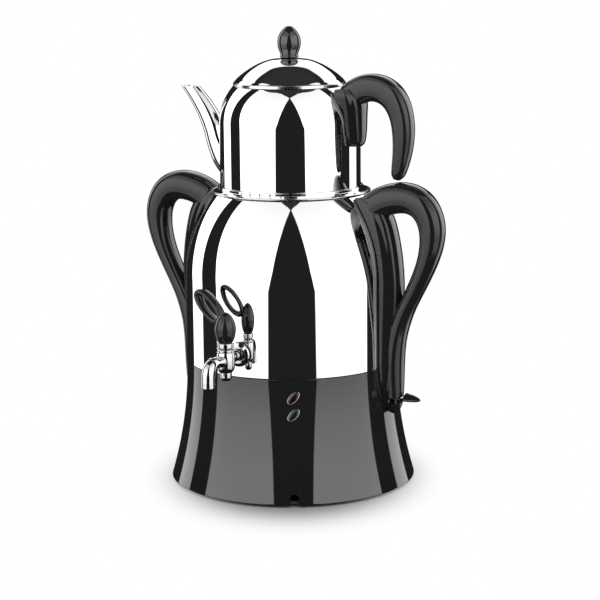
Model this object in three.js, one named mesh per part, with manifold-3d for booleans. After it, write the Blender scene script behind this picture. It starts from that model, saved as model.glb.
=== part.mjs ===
import * as THREE from "three";
import { mergeVertices } from "three/addons/utils/BufferGeometryUtils.js";
import { LoftGeometry } from "three/addons/geometries/LoftGeometry.js";
import Module from "manifold-3d";

// Lengths are in millimetres and angles in degrees.
// +Z is up, the tap points along -Y, the handles lie along X and the floor is z = 0.
// A share is a part of the size that its table or its neighbour names.
const GAP = 0.3;
const WELD = 0.001;
const FACETS = { fine: 88, body: 44, pot: 36, part: 26, rod: 16, pin: 10, hole: 6 };

// Main sizes, which the others follow
const MAIN = {
  tankRadius: 95,
  baseTop: 109.6,
  tankWallHeight: 76.1,
  tankRise: 111.7,
  potRadiusShare: 0.661,
  potWallHeight: 57.2,
  potRise: 55,
};

// How far a place lies inside the tank's radius
const INSET = {
  lip: 11,
  post: 17,
  spindle: 9,
  thermostatBack: 33,
  thermostatFront: 3.5,
  bracket: 7,
  leverNeck: 7,
  lensBack: 3.4,
  lampPocket: 3.8,
  bezelRoot: 2,
  inletFloor: 7,
  pinBack: 16,
  tapPipe: 9,
  locknutFace: 7.6,
  locknutBack: 3.3,
  innerGasket: 3,
  outerGasket: 1.2,
  handleCore: 40,
};

// How far a place lies outside the tank's radius
const PROUD = {
  seam: 0.2,
  slot: 5.6,
  leverNeck: 13.5,
  paddleRoot: 11.5,
  paddle: 15.6,
  handleStud: 11,
  handleScrew: 11,
  gasket: 1,
  flangeBack: 1.3,
  flangeMiddle: 2.15,
  flangeStep: 3,
  flangeFace: 4.2,
  tap: 23.5,
};

// How far a height lies under the top of the base
const DROP = {
  bend: 2.6,
  postShoulder: 17.6,
  handleScrew: 10.6,
  thermostatBottom: 57.6,
  thermostatTop: 35.6,
  collarTop: 31.1,
  leverBottom: 30.8,
  leverTop: 27,
  slotLow: 31.4,
  slotHigh: 26.2,
  holderLow: 40.6,
  holderHigh: 6.6,
};

// Base: a flared shell on a plate with rubber feet
const BASE = {
  topRadius: MAIN.tankRadius + PROUD.seam,
  flare: 15.6,
  bendTop: MAIN.baseTop - DROP.bend,
  bottom: 2,
  rimRound: 0.9,
  seamRound: 0.2,
  wall: 2.4,
  top: MAIN.baseTop,
  lip: MAIN.tankRadius - INSET.lip,
  lipWall: 2.4,
  outerRows: 7,
  innerRows: 3,
};
const NOTCH = { azimuths: [-61, 119], halfWidth: 4, crown: 7.3, depth: 12, arcSteps: 8 };
const PLATE = { clearance: 0.4, bottom: 2.2, thickness: 2.5 };
const FOOT = { inset: 17.2, radius: 7.2, top: 1.9, bevel: 0.6, stub: 2.4, stubTop: 6, hole: 2.75 };
const FOOT_AZIMUTHS = [45, 135, 225, 315];
const POST = {
  ring: MAIN.tankRadius - INSET.post,
  radius: 4,
  neck: 3,
  shoulder: MAIN.baseTop - DROP.postShoulder,
  pilot: 1.9,
  pilotTop: 16,
};
const POST_AZIMUTHS = [35, 155, 275];
const POST_SCREW = { head: 3.4, headBottom: 0.5, headTop: 1.9, shank: 1.55, top: 14 };
const SHIELD = { wall: 1, rimHeight: 5, rimWall: 1, postHole: 3.35 };

// Heater under the tank floor, in shares of the tank's radius
const HEATER = { radiusShare: 0.716, thickness: 5 };
const ELEMENT = {
  ringShare: 0.526,
  tube: 3.5,
  openAngle: 34,
  drop: 2.4,
  edgeShare: 0.055,
  steps: 26,
};
const CUTOUT = { x: 0, y: 12, radius: 8, height: 6, tabHalf: 3, tabHeight: 4, tabThick: 0.8 };

// Thermostat and its lever at the foot of the right handle
const THERMOSTAT = {
  spindleX: MAIN.tankRadius - INSET.spindle,
  left: MAIN.tankRadius - INSET.thermostatBack,
  right: MAIN.tankRadius - INSET.thermostatFront,
  halfWidth: 12,
  bottom: MAIN.baseTop - DROP.thermostatBottom,
  top: MAIN.baseTop - DROP.thermostatTop,
  collar: 3.6,
  collarTop: MAIN.baseTop - DROP.collarTop,
  spindle: 2.2,
  spindleTop: MAIN.baseTop - DROP.leverTop,
};
const THERMOSTAT_BRACKET = { sheet: 1.2, halfWidth: 10, right: MAIN.tankRadius - INSET.bracket };
const LEVER = {
  hub: 5,
  bore: 2.28,
  bottom: MAIN.baseTop - DROP.leverBottom,
  top: MAIN.baseTop - DROP.leverTop,
  neckHalf: 2.1,
  neckBottomRise: 0.6,
  neckTopDrop: 0.6,
  neckStart: MAIN.tankRadius - INSET.leverNeck,
  neckEnd: MAIN.tankRadius + PROUD.leverNeck,
};
// Paddle stations: shares of reach, of bow above the lever's middle, of half width and of half thickness
const PADDLE = {
  root: MAIN.tankRadius + PROUD.paddleRoot,
  start: MAIN.tankRadius + PROUD.paddle,
  reach: 17.2,
  bow: 2.6,
  halfWide: 5,
  halfThick: 1.6,
  tilt: 30,
};
const PADDLE_ROOT_SHARES = [0, 0.115, 0.32, 0.812];
const PADDLE_SHARES = [
  [0.001, 0.115, 0.36, 0.875],
  [0.104, 1.038, 1, 1],
  [0.313, 0.962, 0.96, 1],
  [0.605, 0.808, 0.78, 0.938],
  [0.878, 0.615, 0.44, 0.75],
  [1, 0.5, 0.16, 0.375],
];
const LEVER_SLOT = {
  start: MAIN.tankRadius + PROUD.slot,
  low: MAIN.baseTop - DROP.slotLow,
  high: MAIN.baseTop - DROP.slotHigh,
  windowHalf: 5.6,
};

// Lamps in the base wall, at shares of the base's height
const LAMPS = { azimuth: -61, tilt: 47, redShare: 0.853, greenShare: 0.717 };
const LENS = {
  long: 5.7,
  short: 2.6,
  back: MAIN.tankRadius - INSET.lensBack,
  proud: 0.5,
  crown: 0.9,
  crownLong: 3.9,
  crownShort: 1.4,
};
const BEZEL = {
  long: 6.9,
  short: 3.7,
  innerLong: 6.1,
  innerShort: 3,
  proud: 0.8,
  root: MAIN.tankRadius - INSET.bezelRoot,
};
const LAMP_HOLE = { long: 6.3, short: 3.15 };
const LAMP_HOLDER = {
  inner: MAIN.tankRadius - INSET.lip,
  outer: MAIN.tankRadius,
  halfWidth: 9,
  low: MAIN.baseTop - DROP.holderLow,
  high: MAIN.baseTop - DROP.holderHigh,
  pocketLong: 6.1,
  pocketShort: 3,
  pocketFloor: MAIN.tankRadius - INSET.lampPocket,
};

// Terminal block and power inlet
const TERMINALS = { x: -34, y: 22, halfLong: 16, halfWide: 7, height: 13 };
const INLET = {
  zShare: 0.347,
  halfWide: 14,
  halfHigh: 10.5,
  proud: 3.7,
  pinInset: 3.6,
  floor: MAIN.tankRadius - INSET.inletFloor,
  socketHalfWide: 11,
  socketHalfHigh: 7.5,
  pinHalfWide: 1,
  pinHalfHigh: 2,
  pinBack: MAIN.tankRadius - INSET.pinBack,
  sidePinX: 6.6,
  sidePinDrop: 1.4,
  earthPinRise: 2.6,
};

// Tank: straight wall, quarter ellipse shoulder, open mouth
const TANK = {
  radius: MAIN.tankRadius,
  wall: 1,
  floor: MAIN.baseTop + GAP,
  heel: 1.4,
  wallTop: MAIN.baseTop + GAP + MAIN.tankWallHeight,
  rise: MAIN.tankRise,
  mouthStep: 7.2,
  rows: 7,
  fineRows: 14,
  pipeHole: 5.3,
};

// Teapot: straight wall, quarter ellipse shoulder, open mouth. Its mouth is a share of its radius
const POT = {
  radius: MAIN.tankRadius * MAIN.potRadiusShare,
  wall: 1,
  heel: 2.3,
  heelOutShare: 0.25,
  heelUpShare: 0.33,
  wallHeight: MAIN.potWallHeight,
  rise: MAIN.potRise,
  mouthShare: 0.8042,
  rows: 6,
  fineRows: 12,
};

// Lid ring of the tank: radii are steps out from the teapot, heights are steps up from the tank's mouth
const RING = {
  edge: 8.8,
  under: 0.34,
  edgeTop: 1.09,
  foot: 2.6,
  footTop: 2.79,
  collarOut: 2.1,
  collarTop: 5.19,
  collarIn: 1.1,
  collarCrown: 5.49,
  ledgeTop: 2.99,
  ledgeUnder: 2.19,
  boreIn: 7.3,
  spigotOut: 5.4,
  spigotIn: 4.4,
  spigotDrop: 5.5,
  spigotTop: 1.39,
};
const STEAM_HOLE = { radius: 0.95, rise: 3.89, spacingAngle: 8.4, inset: 0.3, reach: 4 };
const STEAM_HOLE_CENTRES = [-85.7, 94.3];
const STEAM_HOLE_STEPS = [-2, -1, 0, 1, 2];
const STRAINER = { rise: 26.2, spacing: 4.6, radius: 1.5, inset: 4.8, reach: 8 };

// Spout centre line: shares of the teapot's radius, of its wall height and of the spout's widest radius
const SPOUT = {
  radius: 12.2,
  wall: 1.2,
  mouthRiseShare: 1.521,
  steps: 12,
  boreSteps: 15,
  facets: 16,
};
const SPOUT_SHARES = [
  [-0.7962, 0.0907, 1],
  [-0.9236, 0.2393, 0.9918],
  [-1.059, 0.4054, 0.9672],
  [-1.1625, 0.6326, 0.8934],
  [-1.2421, 0.8774, 0.8279],
  [-1.3536, 1.1134, 0.7295],
  [-1.481, 1.3145, 0.6393],
  [-1.6291, 1.5103, 0.541],
  [-1.7517, 1.6554, 0.5082],
];
const SPOUT_ROOT_SHARES = [-0.7644, 0.0487, 0.9836];
const SPOUT_END_SHARES = [-1.7995, 1.7166, 0.5082];

// Grips: centre lines in shares of the body's radius, of its heights, of half thickness and of half width
const GRIP = { halfThick: 13.5, halfWide: 13.8, power: 2.5, steps: 23, facets: 16 };
const POT_GRIP = { halfThick: 12, halfWide: 11, steps: 20, facets: 16 };
const POT_GRIP_SHARES = [
  [0.7962, 1.227, 0.8333, 0.9545],
  [0.9236, 1.3844, 0.9333, 1],
  [1.059, 1.4998, 0.9833, 1],
  [1.1944, 1.568, 1, 1],
  [1.3409, 1.5819, 0.9917, 1],
  [1.481, 1.5452, 0.9667, 1],
  [1.602, 1.4578, 0.9167, 1],
  [1.6928, 1.318, 0.85, 0.9818],
  [1.7501, 1.1396, 0.7833, 0.9455],
  [1.774, 0.9298, 0.7333, 0.9091],
  [1.7677, 0.7026, 0.6667, 0.8455],
  [1.739, 0.4928, 0.5833, 0.7545],
  [1.7071, 0.3389, 0.5, 0.6545],
  [1.6864, 0.2585, 0.4083, 0.5273],
  [1.6753, 0.2061, 0.2333, 0.3091],
];
// Mounting block stations: shares of wall height, of the teapot's radius and of two half widths
const POT_BLOCK = { halfWide: 17.4, halfCrest: 11 };
const POT_BLOCK_SHARES = [
  [0.6816, 1.1147, 0.3736, 0.4545],
  [0.7236, 1.1466, 0.546, 0.6364],
  [0.825, 1.1657, 0.6609, 0.7273],
  [0.9823, 1.1705, 0.7586, 0.8182],
  [1.1571, 1.1721, 0.8391, 0.8727],
  [1.3319, 1.1689, 0.954, 0.9636],
  [1.4718, 1.1211, 1, 1],
  [1.5592, 1.0415, 0.9195, 0.9636],
];
const POT_STUD = { rise: 51.2, plate: 5, plateThick: 1.5, stud: 2.5, proud: 6.7 };
// Heights of the tank's grip count from the floor, where 1 is the top of the base and 2 the tank's mouth
const GRIP_SHARES = [
  [0.6947, 1.8188, 0.9333, 0.9058],
  [0.8105, 1.8978, 0.9778, 0.9565],
  [0.9105, 1.9465, 1, 0.9855],
  [1, 1.9748, 1, 1],
  [1.0895, 1.9906, 1, 1],
  [1.1789, 1.9966, 0.9926, 1],
  [1.2653, 1.9887, 0.9704, 0.9855],
  [1.3432, 1.965, 0.9333, 0.971],
  [1.4021, 1.9268, 0.8815, 0.9565],
  [1.4421, 1.8768, 0.837, 0.942],
  [1.4621, 1.8162, 0.7926, 0.9275],
  [1.4568, 1.7398, 0.7259, 0.8986],
  [1.4274, 1.6582, 0.6444, 0.8696],
  [1.3821, 1.5819, 0.5852, 0.8406],
  [1.3221, 1.5003, 0.5481, 0.8116],
  [1.2568, 1.4199, 0.5333, 0.7971],
  [1.1937, 1.3436, 0.563, 0.7971],
  [1.1411, 1.2633, 0.6074, 0.8043],
  [1.1032, 1.1804, 0.637, 0.8116],
  [1.0821, 1.0948, 0.6593, 0.8261],
  [1.0737, 1.0026, 0.6667, 0.8261],
  [1.0726, 0.8942, 0.6593, 0.7826],
  [1.0705, 0.8029, 0.6593, 0.6957],
  [1.0674, 0.7299, 0.6444, 0.6232],
  [1.0653, 0.6889, 0.5926, 0.5072],
  [1.0611, 0.6533, 0.4444, 0.3623],
  [1.0526, 0.6277, 0.2148, 0.1594],
];
// Pad stations: height share, then shares of the tank's radius and of two half widths
const PAD = { halfWide: 14.3, halfCrest: 10.4 };
const PAD_SHARES = [
  [0.6341, 1.0463, 0.1678, 0.1346],
  [0.6752, 1.0779, 0.3776, 0.3462],
  [0.7299, 1.1011, 0.5594, 0.5],
  [0.8485, 1.1221, 0.8252, 0.75],
  [0.9763, 1.1305, 0.979, 0.8846],
  [1.1343, 1.1347, 0.993, 0.9038],
  [1.2659, 1.1453, 1, 0.9231],
  [1.3976, 1.1558, 1, 0.9231],
  [1.5029, 1.1579, 1, 0.9327],
  [1.595, 1.1474, 1, 0.9423],
  [1.6872, 1.1284, 1, 0.9615],
  [1.7925, 1.0947, 1, 0.9808],
  [1.8715, 1.0547, 1, 1],
  [1.9373, 0.9895, 0.993, 1],
  [1.99, 0.8947, 0.965, 0.9615],
];
// Outline of a pad from the body out to its crest: shares of the crest's height and of the two half widths
const PAD_SHAPE_SHARES = [
  [0, 1, 0],
  [0.3, 0.97, 0.03],
  [0.62, 0.5, 0.5],
  [0.86, 0.06, 0.94],
  [0.97, 0, 0.72],
  [1, 0, 0.3],
];
const HANDLE_CLEAR = { step: 0.9, drop: 11.5, rise: 38.5 };
const HANDLE_STUD = { drop: 10, plate: 6, plateThick: 1.5, stud: 3, end: MAIN.tankRadius + PROUD.handleStud };
const HANDLE_SCREW = {
  z: MAIN.baseTop - DROP.handleScrew,
  shank: 2,
  bore: 2.35,
  head: 4,
  headThick: 2,
  end: MAIN.tankRadius + PROUD.handleScrew,
};

// Lid of the teapot with its knob
const LID = {
  rimInset: 0.5,
  rimRise: 0.4,
  rimTopRise: 2.9,
  spigotInset: 1.9,
  spigotWall: 1,
  spigotDrop: 2.7,
  dome: 21.6,
  hole: 2.4,
  wall: 1,
};
// Dome outline: shares of the rim's radius and of the dome's height
const LID_DOME_SHARES = [
  [0.984, 0.0462],
  [0.948, 0.148],
  [0.86, 0.3286],
  [0.74, 0.5277],
  [0.58, 0.7406],
  [0.38, 0.9165],
  [0.18, 0.986],
];
// Knob outline: shares of its radius and of its height above the dome
const LID_KNOB = { radius: 10.3, height: 28 };
const LID_KNOB_SHARES = [
  [0.7379, 0.0106],
  [0.8058, 0.0392],
  [0.7864, 0.0713],
  [0.7476, 0.0999],
  [0.8058, 0.1713],
  [0.9223, 0.2856],
  [1, 0.4213],
  [0.9903, 0.5642],
  [0.8932, 0.7071],
  [0.7184, 0.8142],
  [0.4854, 0.9142],
  [0.2233, 0.9892],
];
const LID_SCREW = { shank: 2, bore: 2.35, rise: 8.9, boreRise: 9.9, head: 4.4, headThick: 1.6 };

// Tap
const TAP = { rise: 20.6, reach: MAIN.tankRadius + PROUD.tap };
const TAP_PIPE = { radius: 5, bore: 3, inner: MAIN.tankRadius - INSET.tapPipe };
const TAP_FLANGE = {
  bore: 5.3,
  radius: 10.9,
  back: MAIN.tankRadius + PROUD.flangeBack,
  middle: MAIN.tankRadius + PROUD.flangeMiddle,
  step: MAIN.tankRadius + PROUD.flangeStep,
  face: MAIN.tankRadius + PROUD.flangeFace,
  faceRadius: 7.6,
  bevel: 10.2,
};
const TAP_GASKET = {
  radius: 9.6,
  root: MAIN.tankRadius - INSET.outerGasket,
  face: MAIN.tankRadius + PROUD.gasket,
};
const TAP_INNER_GASKET = { radius: 8.6, face: MAIN.tankRadius - INSET.innerGasket, root: MAIN.tankRadius };
const TAP_LOCKNUT = {
  radius: 9,
  face: MAIN.tankRadius - INSET.locknutFace,
  back: MAIN.tankRadius - INSET.locknutBack,
  facets: 6,
};
// Barrel outline: shares of its radius and of its height
const TAP_BARREL = { radius: 8.2, drop: 10.9, height: 17.2, bore: 5.35 };
const TAP_BARREL_SHARES = [
  [0.683, 0],
  [0.854, 0.07],
  [0.976, 0.285],
  [1, 0.547],
  [0.976, 0.802],
  [0.878, 1],
];
const TAP_PLUG = { radius: 5.2, rise: 0.2, stem: 3, tail: 2.2 };
const TAP_BONNET = { clearance: 0.5, height: 3, radius: 7.1, waist: 5.6, bore: 3.3 };
const TAP_COLLAR = { height: 4.3, radius: 7, bevel: 0.8, bore: 3.3 };
// Knob outline: shares of its radius and of its height
const TAP_EGG = { radius: 9.15, height: 26.4, bore: 3.3, boreHeight: 7.1 };
const TAP_EGG_SHARES = [
  [0.656, 0],
  [0.809, 0.091],
  [0.929, 0.22],
  [0.995, 0.371],
  [0.995, 0.504],
  [0.918, 0.636],
  [0.776, 0.758],
  [0.568, 0.879],
  [0.284, 0.97],
];
// Nut outline: shares of its radius and of its height, from the rounded end up
const TAP_NUT = { radius: 5.4, height: 7.9, bore: 2.5, boreHeight: 6.1 };
const TAP_NUT_SHARES = [
  [0, 0],
  [0.481, 0.051],
  [0.815, 0.19],
  [0.963, 0.405],
  [1, 0.658],
  [1, 1],
];
// Tap spout centre line: shares of its reach out from the barrel, of its fall and of its radius
const TAP_SPOUT = {
  reach: 29.7,
  fall: 18.5,
  radius: 6.1,
  wall: 1.6,
  steps: 10,
  facets: 14,
  tipDrop: 2,
};
const TAP_SPOUT_SHARES = [
  [0, 0.049, 0.82],
  [0.253, 0.032, 0.787],
  [0.522, 0, 0.82],
  [0.724, -0.011, 0.885],
  [0.886, 0.097, 0.951],
  [0.976, 0.351, 0.967],
  [0.997, 0.676, 0.984],
  [1, 1, 1],
];
const TAP_BORE_SHARES = [0.118, 0.032, 0.787];
const TAP_LOOP = {
  x: -21.1,
  rise: 42.9,
  setBack: 3,
  turn: -14,
  angle: 38,
  long: 16.6,
  short: 6.8,
  endHalf: 2.9,
  sideHalf: 2.1,
  depthHalf: 4.5,
  steps: 22,
  facets: 10,
  power: 2.4,
};

const COLOURS = {
  black: { color: 0x17171a, roughness: 0.15, metalness: 0 },
  steel: { color: 0xd4d6d8, roughness: 0.08, metalness: 1 },
  chrome: { color: 0xdfe2e6, roughness: 0.05, metalness: 1 },
  dull: { color: 0x9a9da1, roughness: 0.5, metalness: 1 },
  aluminium: { color: 0xb9bcc0, roughness: 0.4, metalness: 1 },
  brass: { color: 0xc9a24a, roughness: 0.3, metalness: 1 },
  rubber: { color: 0x1c1c1c, roughness: 0.9, metalness: 0 },
  ceramic: { color: 0xe8e2d2, roughness: 0.6, metalness: 0 },
  red: { color: 0xa01818, roughness: 0.2, metalness: 0 },
  green: { color: 0x12685a, roughness: 0.2, metalness: 0 },
};

const wasm = await Module();
wasm.setup();
const group = new THREE.Group();
group.name = "samovar";

const radians = THREE.MathUtils.degToRad;

// Sizes that follow from the constants

function baseRadius(z) {
  const share = Math.max(BASE.bendTop - z, 0) / (BASE.bendTop - BASE.bottom);
  return BASE.topRadius + BASE.flare * share * share;
}

const plateTop = PLATE.bottom + PLATE.thickness;
const plateRadius = baseRadius(plateTop) - BASE.wall - PLATE.clearance;
const redZ = BASE.top * LAMPS.redShare;
const greenZ = BASE.top * LAMPS.greenShare;
const inletZ = BASE.top * INLET.zShare;
const inletFront = baseRadius(inletZ) + INLET.proud;
const tankMouth = POT.radius + TANK.mouthStep;
const tankRim = Math.acos(tankMouth / TANK.radius);
const tankMouthZ = TANK.wallTop + TANK.rise * Math.sin(tankRim);
const potBottom = tankMouthZ + RING.ledgeTop + GAP;
const potWallTop = potBottom + POT.wallHeight;
const potMouth = POT.radius * POT.mouthShare;
const potRim = Math.acos(POT.mouthShare);
const potMouthZ = potWallTop + POT.rise * Math.sin(potRim);
const lidRim = potMouth - LID.rimInset;
const lidRimTop = potMouthZ + LID.rimTopRise;
const lidTop = lidRimTop + LID.dome;
const tapZ = TANK.floor + TAP.rise;
const barrelLow = tapZ - TAP_BARREL.drop;
const barrelTop = barrelLow + TAP_BARREL.height;
const bonnetLow = barrelTop + TAP_BONNET.clearance;
const bonnetTop = bonnetLow + TAP_BONNET.height;
const collarLow = bonnetTop + GAP;
const collarTop = collarLow + TAP_COLLAR.height;
const eggLow = collarTop + GAP;
const eggTop = eggLow + TAP_EGG.height;
const nutTop = barrelLow - GAP;
const nutLow = nutTop - TAP_NUT.height;

// Tables turned from shares into millimetres

function sized(rows, starts, sizes) {
  return rows.map((row) => row.map((share, i) => starts[i] + share * sizes[i]));
}

function level(share) {
  const inBase = Math.min(share, 1);
  return inBase * BASE.top + (share - inBase) * (tankMouthZ - BASE.top);
}

const leverMiddle = (LEVER.bottom + LEVER.top) / 2;
const paddleSizes = [PADDLE.reach, PADDLE.bow, PADDLE.halfWide, PADDLE.halfThick];
const paddleStations = [
  ...sized([PADDLE_ROOT_SHARES], [PADDLE.root, leverMiddle, 0, 0], paddleSizes),
  ...sized(PADDLE_SHARES, [PADDLE.start, leverMiddle, 0, 0], paddleSizes),
];
const spoutSizes = [POT.radius, POT.wallHeight, SPOUT.radius];
const spoutLine = sized(SPOUT_SHARES, [0, potBottom, 0], spoutSizes);
const spoutBoreShares = [SPOUT_ROOT_SHARES, ...SPOUT_SHARES, SPOUT_END_SHARES];
const spoutBore = sized(spoutBoreShares, [0, potBottom, 0], spoutSizes);
const potGripLine = sized(
  POT_GRIP_SHARES,
  [0, potBottom, 0, 0],
  [POT.radius, POT.wallHeight, POT_GRIP.halfThick, POT_GRIP.halfWide],
);
const potBlockStations = sized(
  POT_BLOCK_SHARES,
  [potBottom, 0, 0, 0],
  [POT.wallHeight, POT.radius, POT_BLOCK.halfWide, POT_BLOCK.halfCrest],
);
const gripLine = GRIP_SHARES.map(([out, up, thick, wide]) => [
  out * TANK.radius,
  level(up),
  thick * GRIP.halfThick,
  wide * GRIP.halfWide,
]);
const padStations = PAD_SHARES.map(([up, out, wide, crest]) => [
  level(up),
  out * TANK.radius,
  wide * PAD.halfWide,
  crest * PAD.halfCrest,
]);
const lidDome = sized(LID_DOME_SHARES, [0, lidRimTop], [lidRim, LID.dome]);
const knobOutline = sized(LID_KNOB_SHARES, [0, lidTop], [LID_KNOB.radius, LID_KNOB.height]);
const barrelOutline = sized(TAP_BARREL_SHARES, [0, barrelLow], [TAP_BARREL.radius, TAP_BARREL.height]);
const eggOutline = sized(TAP_EGG_SHARES, [0, eggLow], [TAP_EGG.radius, TAP_EGG.height]);
const nutOutline = sized(TAP_NUT_SHARES, [0, nutLow], [TAP_NUT.radius, TAP_NUT.height]);
const tapSpoutSizes = [TAP_SPOUT.reach, -TAP_SPOUT.fall, TAP_SPOUT.radius];
const tapSpoutLine = sized(TAP_SPOUT_SHARES, [TAP.reach, tapZ, 0], tapSpoutSizes);

// Solid helpers

function outward(geometry) {
  const bare = new THREE.BufferGeometry().setAttribute("position", geometry.getAttribute("position"));
  if (geometry.index) {
    bare.setIndex(geometry.index);
  }
  const merged = mergeVertices(bare, WELD);
  const points = merged.getAttribute("position");
  const corners = Array.from(merged.index.array);
  const kept = [];
  let volume = 0;
  const a = new THREE.Vector3();
  const b = new THREE.Vector3();
  const c = new THREE.Vector3();
  for (let i = 0; i < corners.length; i += 3) {
    const [p, q, r] = corners.slice(i, i + 3);
    if (p === q || q === r || r === p) {
      continue;
    }
    a.fromBufferAttribute(points, p);
    b.fromBufferAttribute(points, q);
    c.fromBufferAttribute(points, r);
    volume += a.dot(b.cross(c));
    kept.push(p, q, r);
  }
  if (volume < 0) {
    for (let i = 0; i < kept.length; i += 3) {
      [kept[i + 1], kept[i + 2]] = [kept[i + 2], kept[i + 1]];
    }
  }
  merged.setIndex(kept);
  return merged;
}

function solid(geometry) {
  const closed = outward(geometry);
  return new wasm.Manifold(
    new wasm.Mesh({
      numProp: 3,
      vertProperties: new Float32Array(closed.getAttribute("position").array),
      triVerts: new Uint32Array(closed.index.array),
    }),
  );
}

function skin(manifold) {
  const mesh = manifold.getMesh();
  const geometry = new THREE.BufferGeometry();
  geometry.setAttribute("position", new THREE.BufferAttribute(new Float32Array(mesh.vertProperties), 3));
  geometry.setIndex(Array.from(mesh.triVerts));
  return geometry;
}

function cut(geometry, ...tools) {
  return skin(tools.reduce((left, tool) => left.subtract(solid(tool)), solid(geometry)));
}

function join(geometry, ...others) {
  return skin(others.reduce((sum, other) => sum.add(solid(other)), solid(geometry)));
}

function meet(geometry, other) {
  return skin(solid(geometry).intersect(solid(other)));
}

function add(name, geometry, colour) {
  const material = new THREE.MeshStandardMaterial({ ...COLOURS[colour], name });
  const mesh = new THREE.Mesh(outward(geometry), material);
  mesh.name = name;
  group.add(mesh);
}

// Form helpers

function turned(profile, facets) {
  const points = profile.map(([radius, height]) => new THREE.Vector2(radius, height));
  return new THREE.LatheGeometry(points, facets).rotateX(Math.PI / 2);
}

function closedTurned(profile, facets) {
  return turned([...profile, profile[0]], facets);
}

// A loft whose sections are all turned the same way, so that the walls and the caps face outward
function lofted(sections, capped = true) {
  const centre = (section) =>
    section.reduce((sum, point) => sum.add(point), new THREE.Vector3()).divideScalar(section.length);
  const start = centre(sections[0]);
  const ahead = centre(sections[1]).sub(start);
  const facing = new THREE.Vector3();
  sections[0].forEach((point, i) => {
    const next = sections[0][(i + 1) % sections[0].length];
    facing.add(point.clone().sub(start).cross(next.clone().sub(start)));
  });
  const ordered = facing.dot(ahead) < 0 ? sections.map((section) => [...section].reverse()) : sections;
  return new LoftGeometry(ordered, { capStart: capped, capEnd: capped });
}

function rod(radius, low, high, facets) {
  return turned([[0, low], [radius, low], [radius, high], [0, high]], facets);
}

function tube(inner, outer, low, high, facets) {
  return closedTurned([[inner, low], [outer, low], [outer, high], [inner, high]], facets);
}

function alongX(geometry) {
  return geometry.rotateY(Math.PI / 2);
}

function alongTap(geometry) {
  return geometry.rotateX(Math.PI / 2).translate(0, 0, tapZ);
}

function atTap(geometry) {
  return geometry.translate(0, -TAP.reach, 0);
}

function block(x0, x1, y0, y1, z0, z1) {
  const box = new THREE.BoxGeometry(x1 - x0, y1 - y0, z1 - z0);
  return box.translate((x0 + x1) / 2, (y0 + y1) / 2, (z0 + z1) / 2);
}

function aroundZ(geometry, azimuth) {
  return geometry.rotateZ(radians(azimuth));
}

function polar(radius, azimuth) {
  return [radius * Math.cos(radians(azimuth)), radius * Math.sin(radians(azimuth))];
}

function spline(rows, steps) {
  const places = rows.map(([x, z]) => new THREE.Vector3(x, 0, z));
  const place = new THREE.CatmullRomCurve3(places, false, "centripetal");
  const size = new THREE.CatmullRomCurve3(
    rows.map(([, , first, second = first]) => new THREE.Vector3(first, second, 0)),
    false,
    "catmullrom",
  );
  return Array.from({ length: steps + 1 }, (_, i) => {
    const share = i / steps;
    const half = size.getPoint(share);
    return { at: place.getPoint(share), along: place.getTangent(share), first: half.x, second: half.y };
  });
}

function roundness(angle, power) {
  const c = Math.cos(angle);
  const s = Math.sin(angle);
  return [Math.sign(c) * Math.abs(c) ** (2 / power), Math.sign(s) * Math.abs(s) ** (2 / power)];
}

function swept(rows, steps, facets, power, grow = 0) {
  const sections = spline(rows, steps).map(({ at, along, first, second }) =>
    Array.from({ length: facets }, (_, j) => {
      const [a, b] = roundness((2 * Math.PI * j) / facets, power);
      return new THREE.Vector3(
        at.x - along.z * a * (first + grow),
        b * (second + grow),
        at.z + along.x * a * (first + grow),
      );
    }),
  );
  return lofted(sections);
}

// A mounting pad: a stack of level sections, wide at the body and narrower at the crest
function pad(stations, inner, root) {
  const sections = stations.map(([z, crest, wide, narrow]) => {
    const half = PAD_SHAPE_SHARES.map(([outShare, wideShare, narrowShare]) => [
      root + (crest - root) * outShare,
      wide * wideShare + narrow * narrowShare,
    ]);
    const near = [[inner, wide], ...half];
    const far = near.map(([x, y]) => [x, -y]).reverse();
    return [...near, ...far].map(([x, y]) => new THREE.Vector3(x, y, z));
  });
  return lofted(sections);
}

// An oval bar along X from stations of x, half length and half width, tilted about X
function ovalBar(stations, z, tilt, facets) {
  const sections = stations.map(([x, long, short]) =>
    Array.from({ length: facets }, (_, j) => {
      const angle = (2 * Math.PI * j) / facets;
      const u = long * Math.cos(angle);
      const v = short * Math.sin(angle);
      const c = Math.cos(radians(tilt));
      const s = Math.sin(radians(tilt));
      return new THREE.Vector3(x, u * c - v * s, z + u * s + v * c);
    }),
  );
  return lofted(sections);
}

function shoulder(radius, rise, from, mouth, rows) {
  const end = Math.acos(mouth / radius);
  return Array.from({ length: rows + 1 }, (_, i) => {
    const angle = (end * i) / rows;
    return [radius * Math.cos(angle), from + rise * Math.sin(angle)];
  });
}

function baseColumn(from, to, rows, offset) {
  return Array.from({ length: rows + 1 }, (_, i) => {
    const z = from + ((to - from) * i) / rows;
    return [baseRadius(z) + offset, z];
  });
}

// Solids used only for cutting

const TANK_END = TANK.wallTop + TANK.rise;

function baseBlank(offset, facets = FACETS.body) {
  const column = baseColumn(0, BASE.bendTop, BASE.outerRows, offset);
  return turned([[0, 0], ...column, [BASE.topRadius + offset, BASE.top], [0, BASE.top]], facets);
}

function tankBlank(offset) {
  const top = shoulder(TANK.radius + offset, TANK.rise + offset, TANK.wallTop, WELD, TANK.fineRows);
  const low = BASE.top - GAP;
  return turned([[0, low], [TANK.radius + offset, low], ...top, [0, TANK_END + offset]], FACETS.body);
}

// Base

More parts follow.
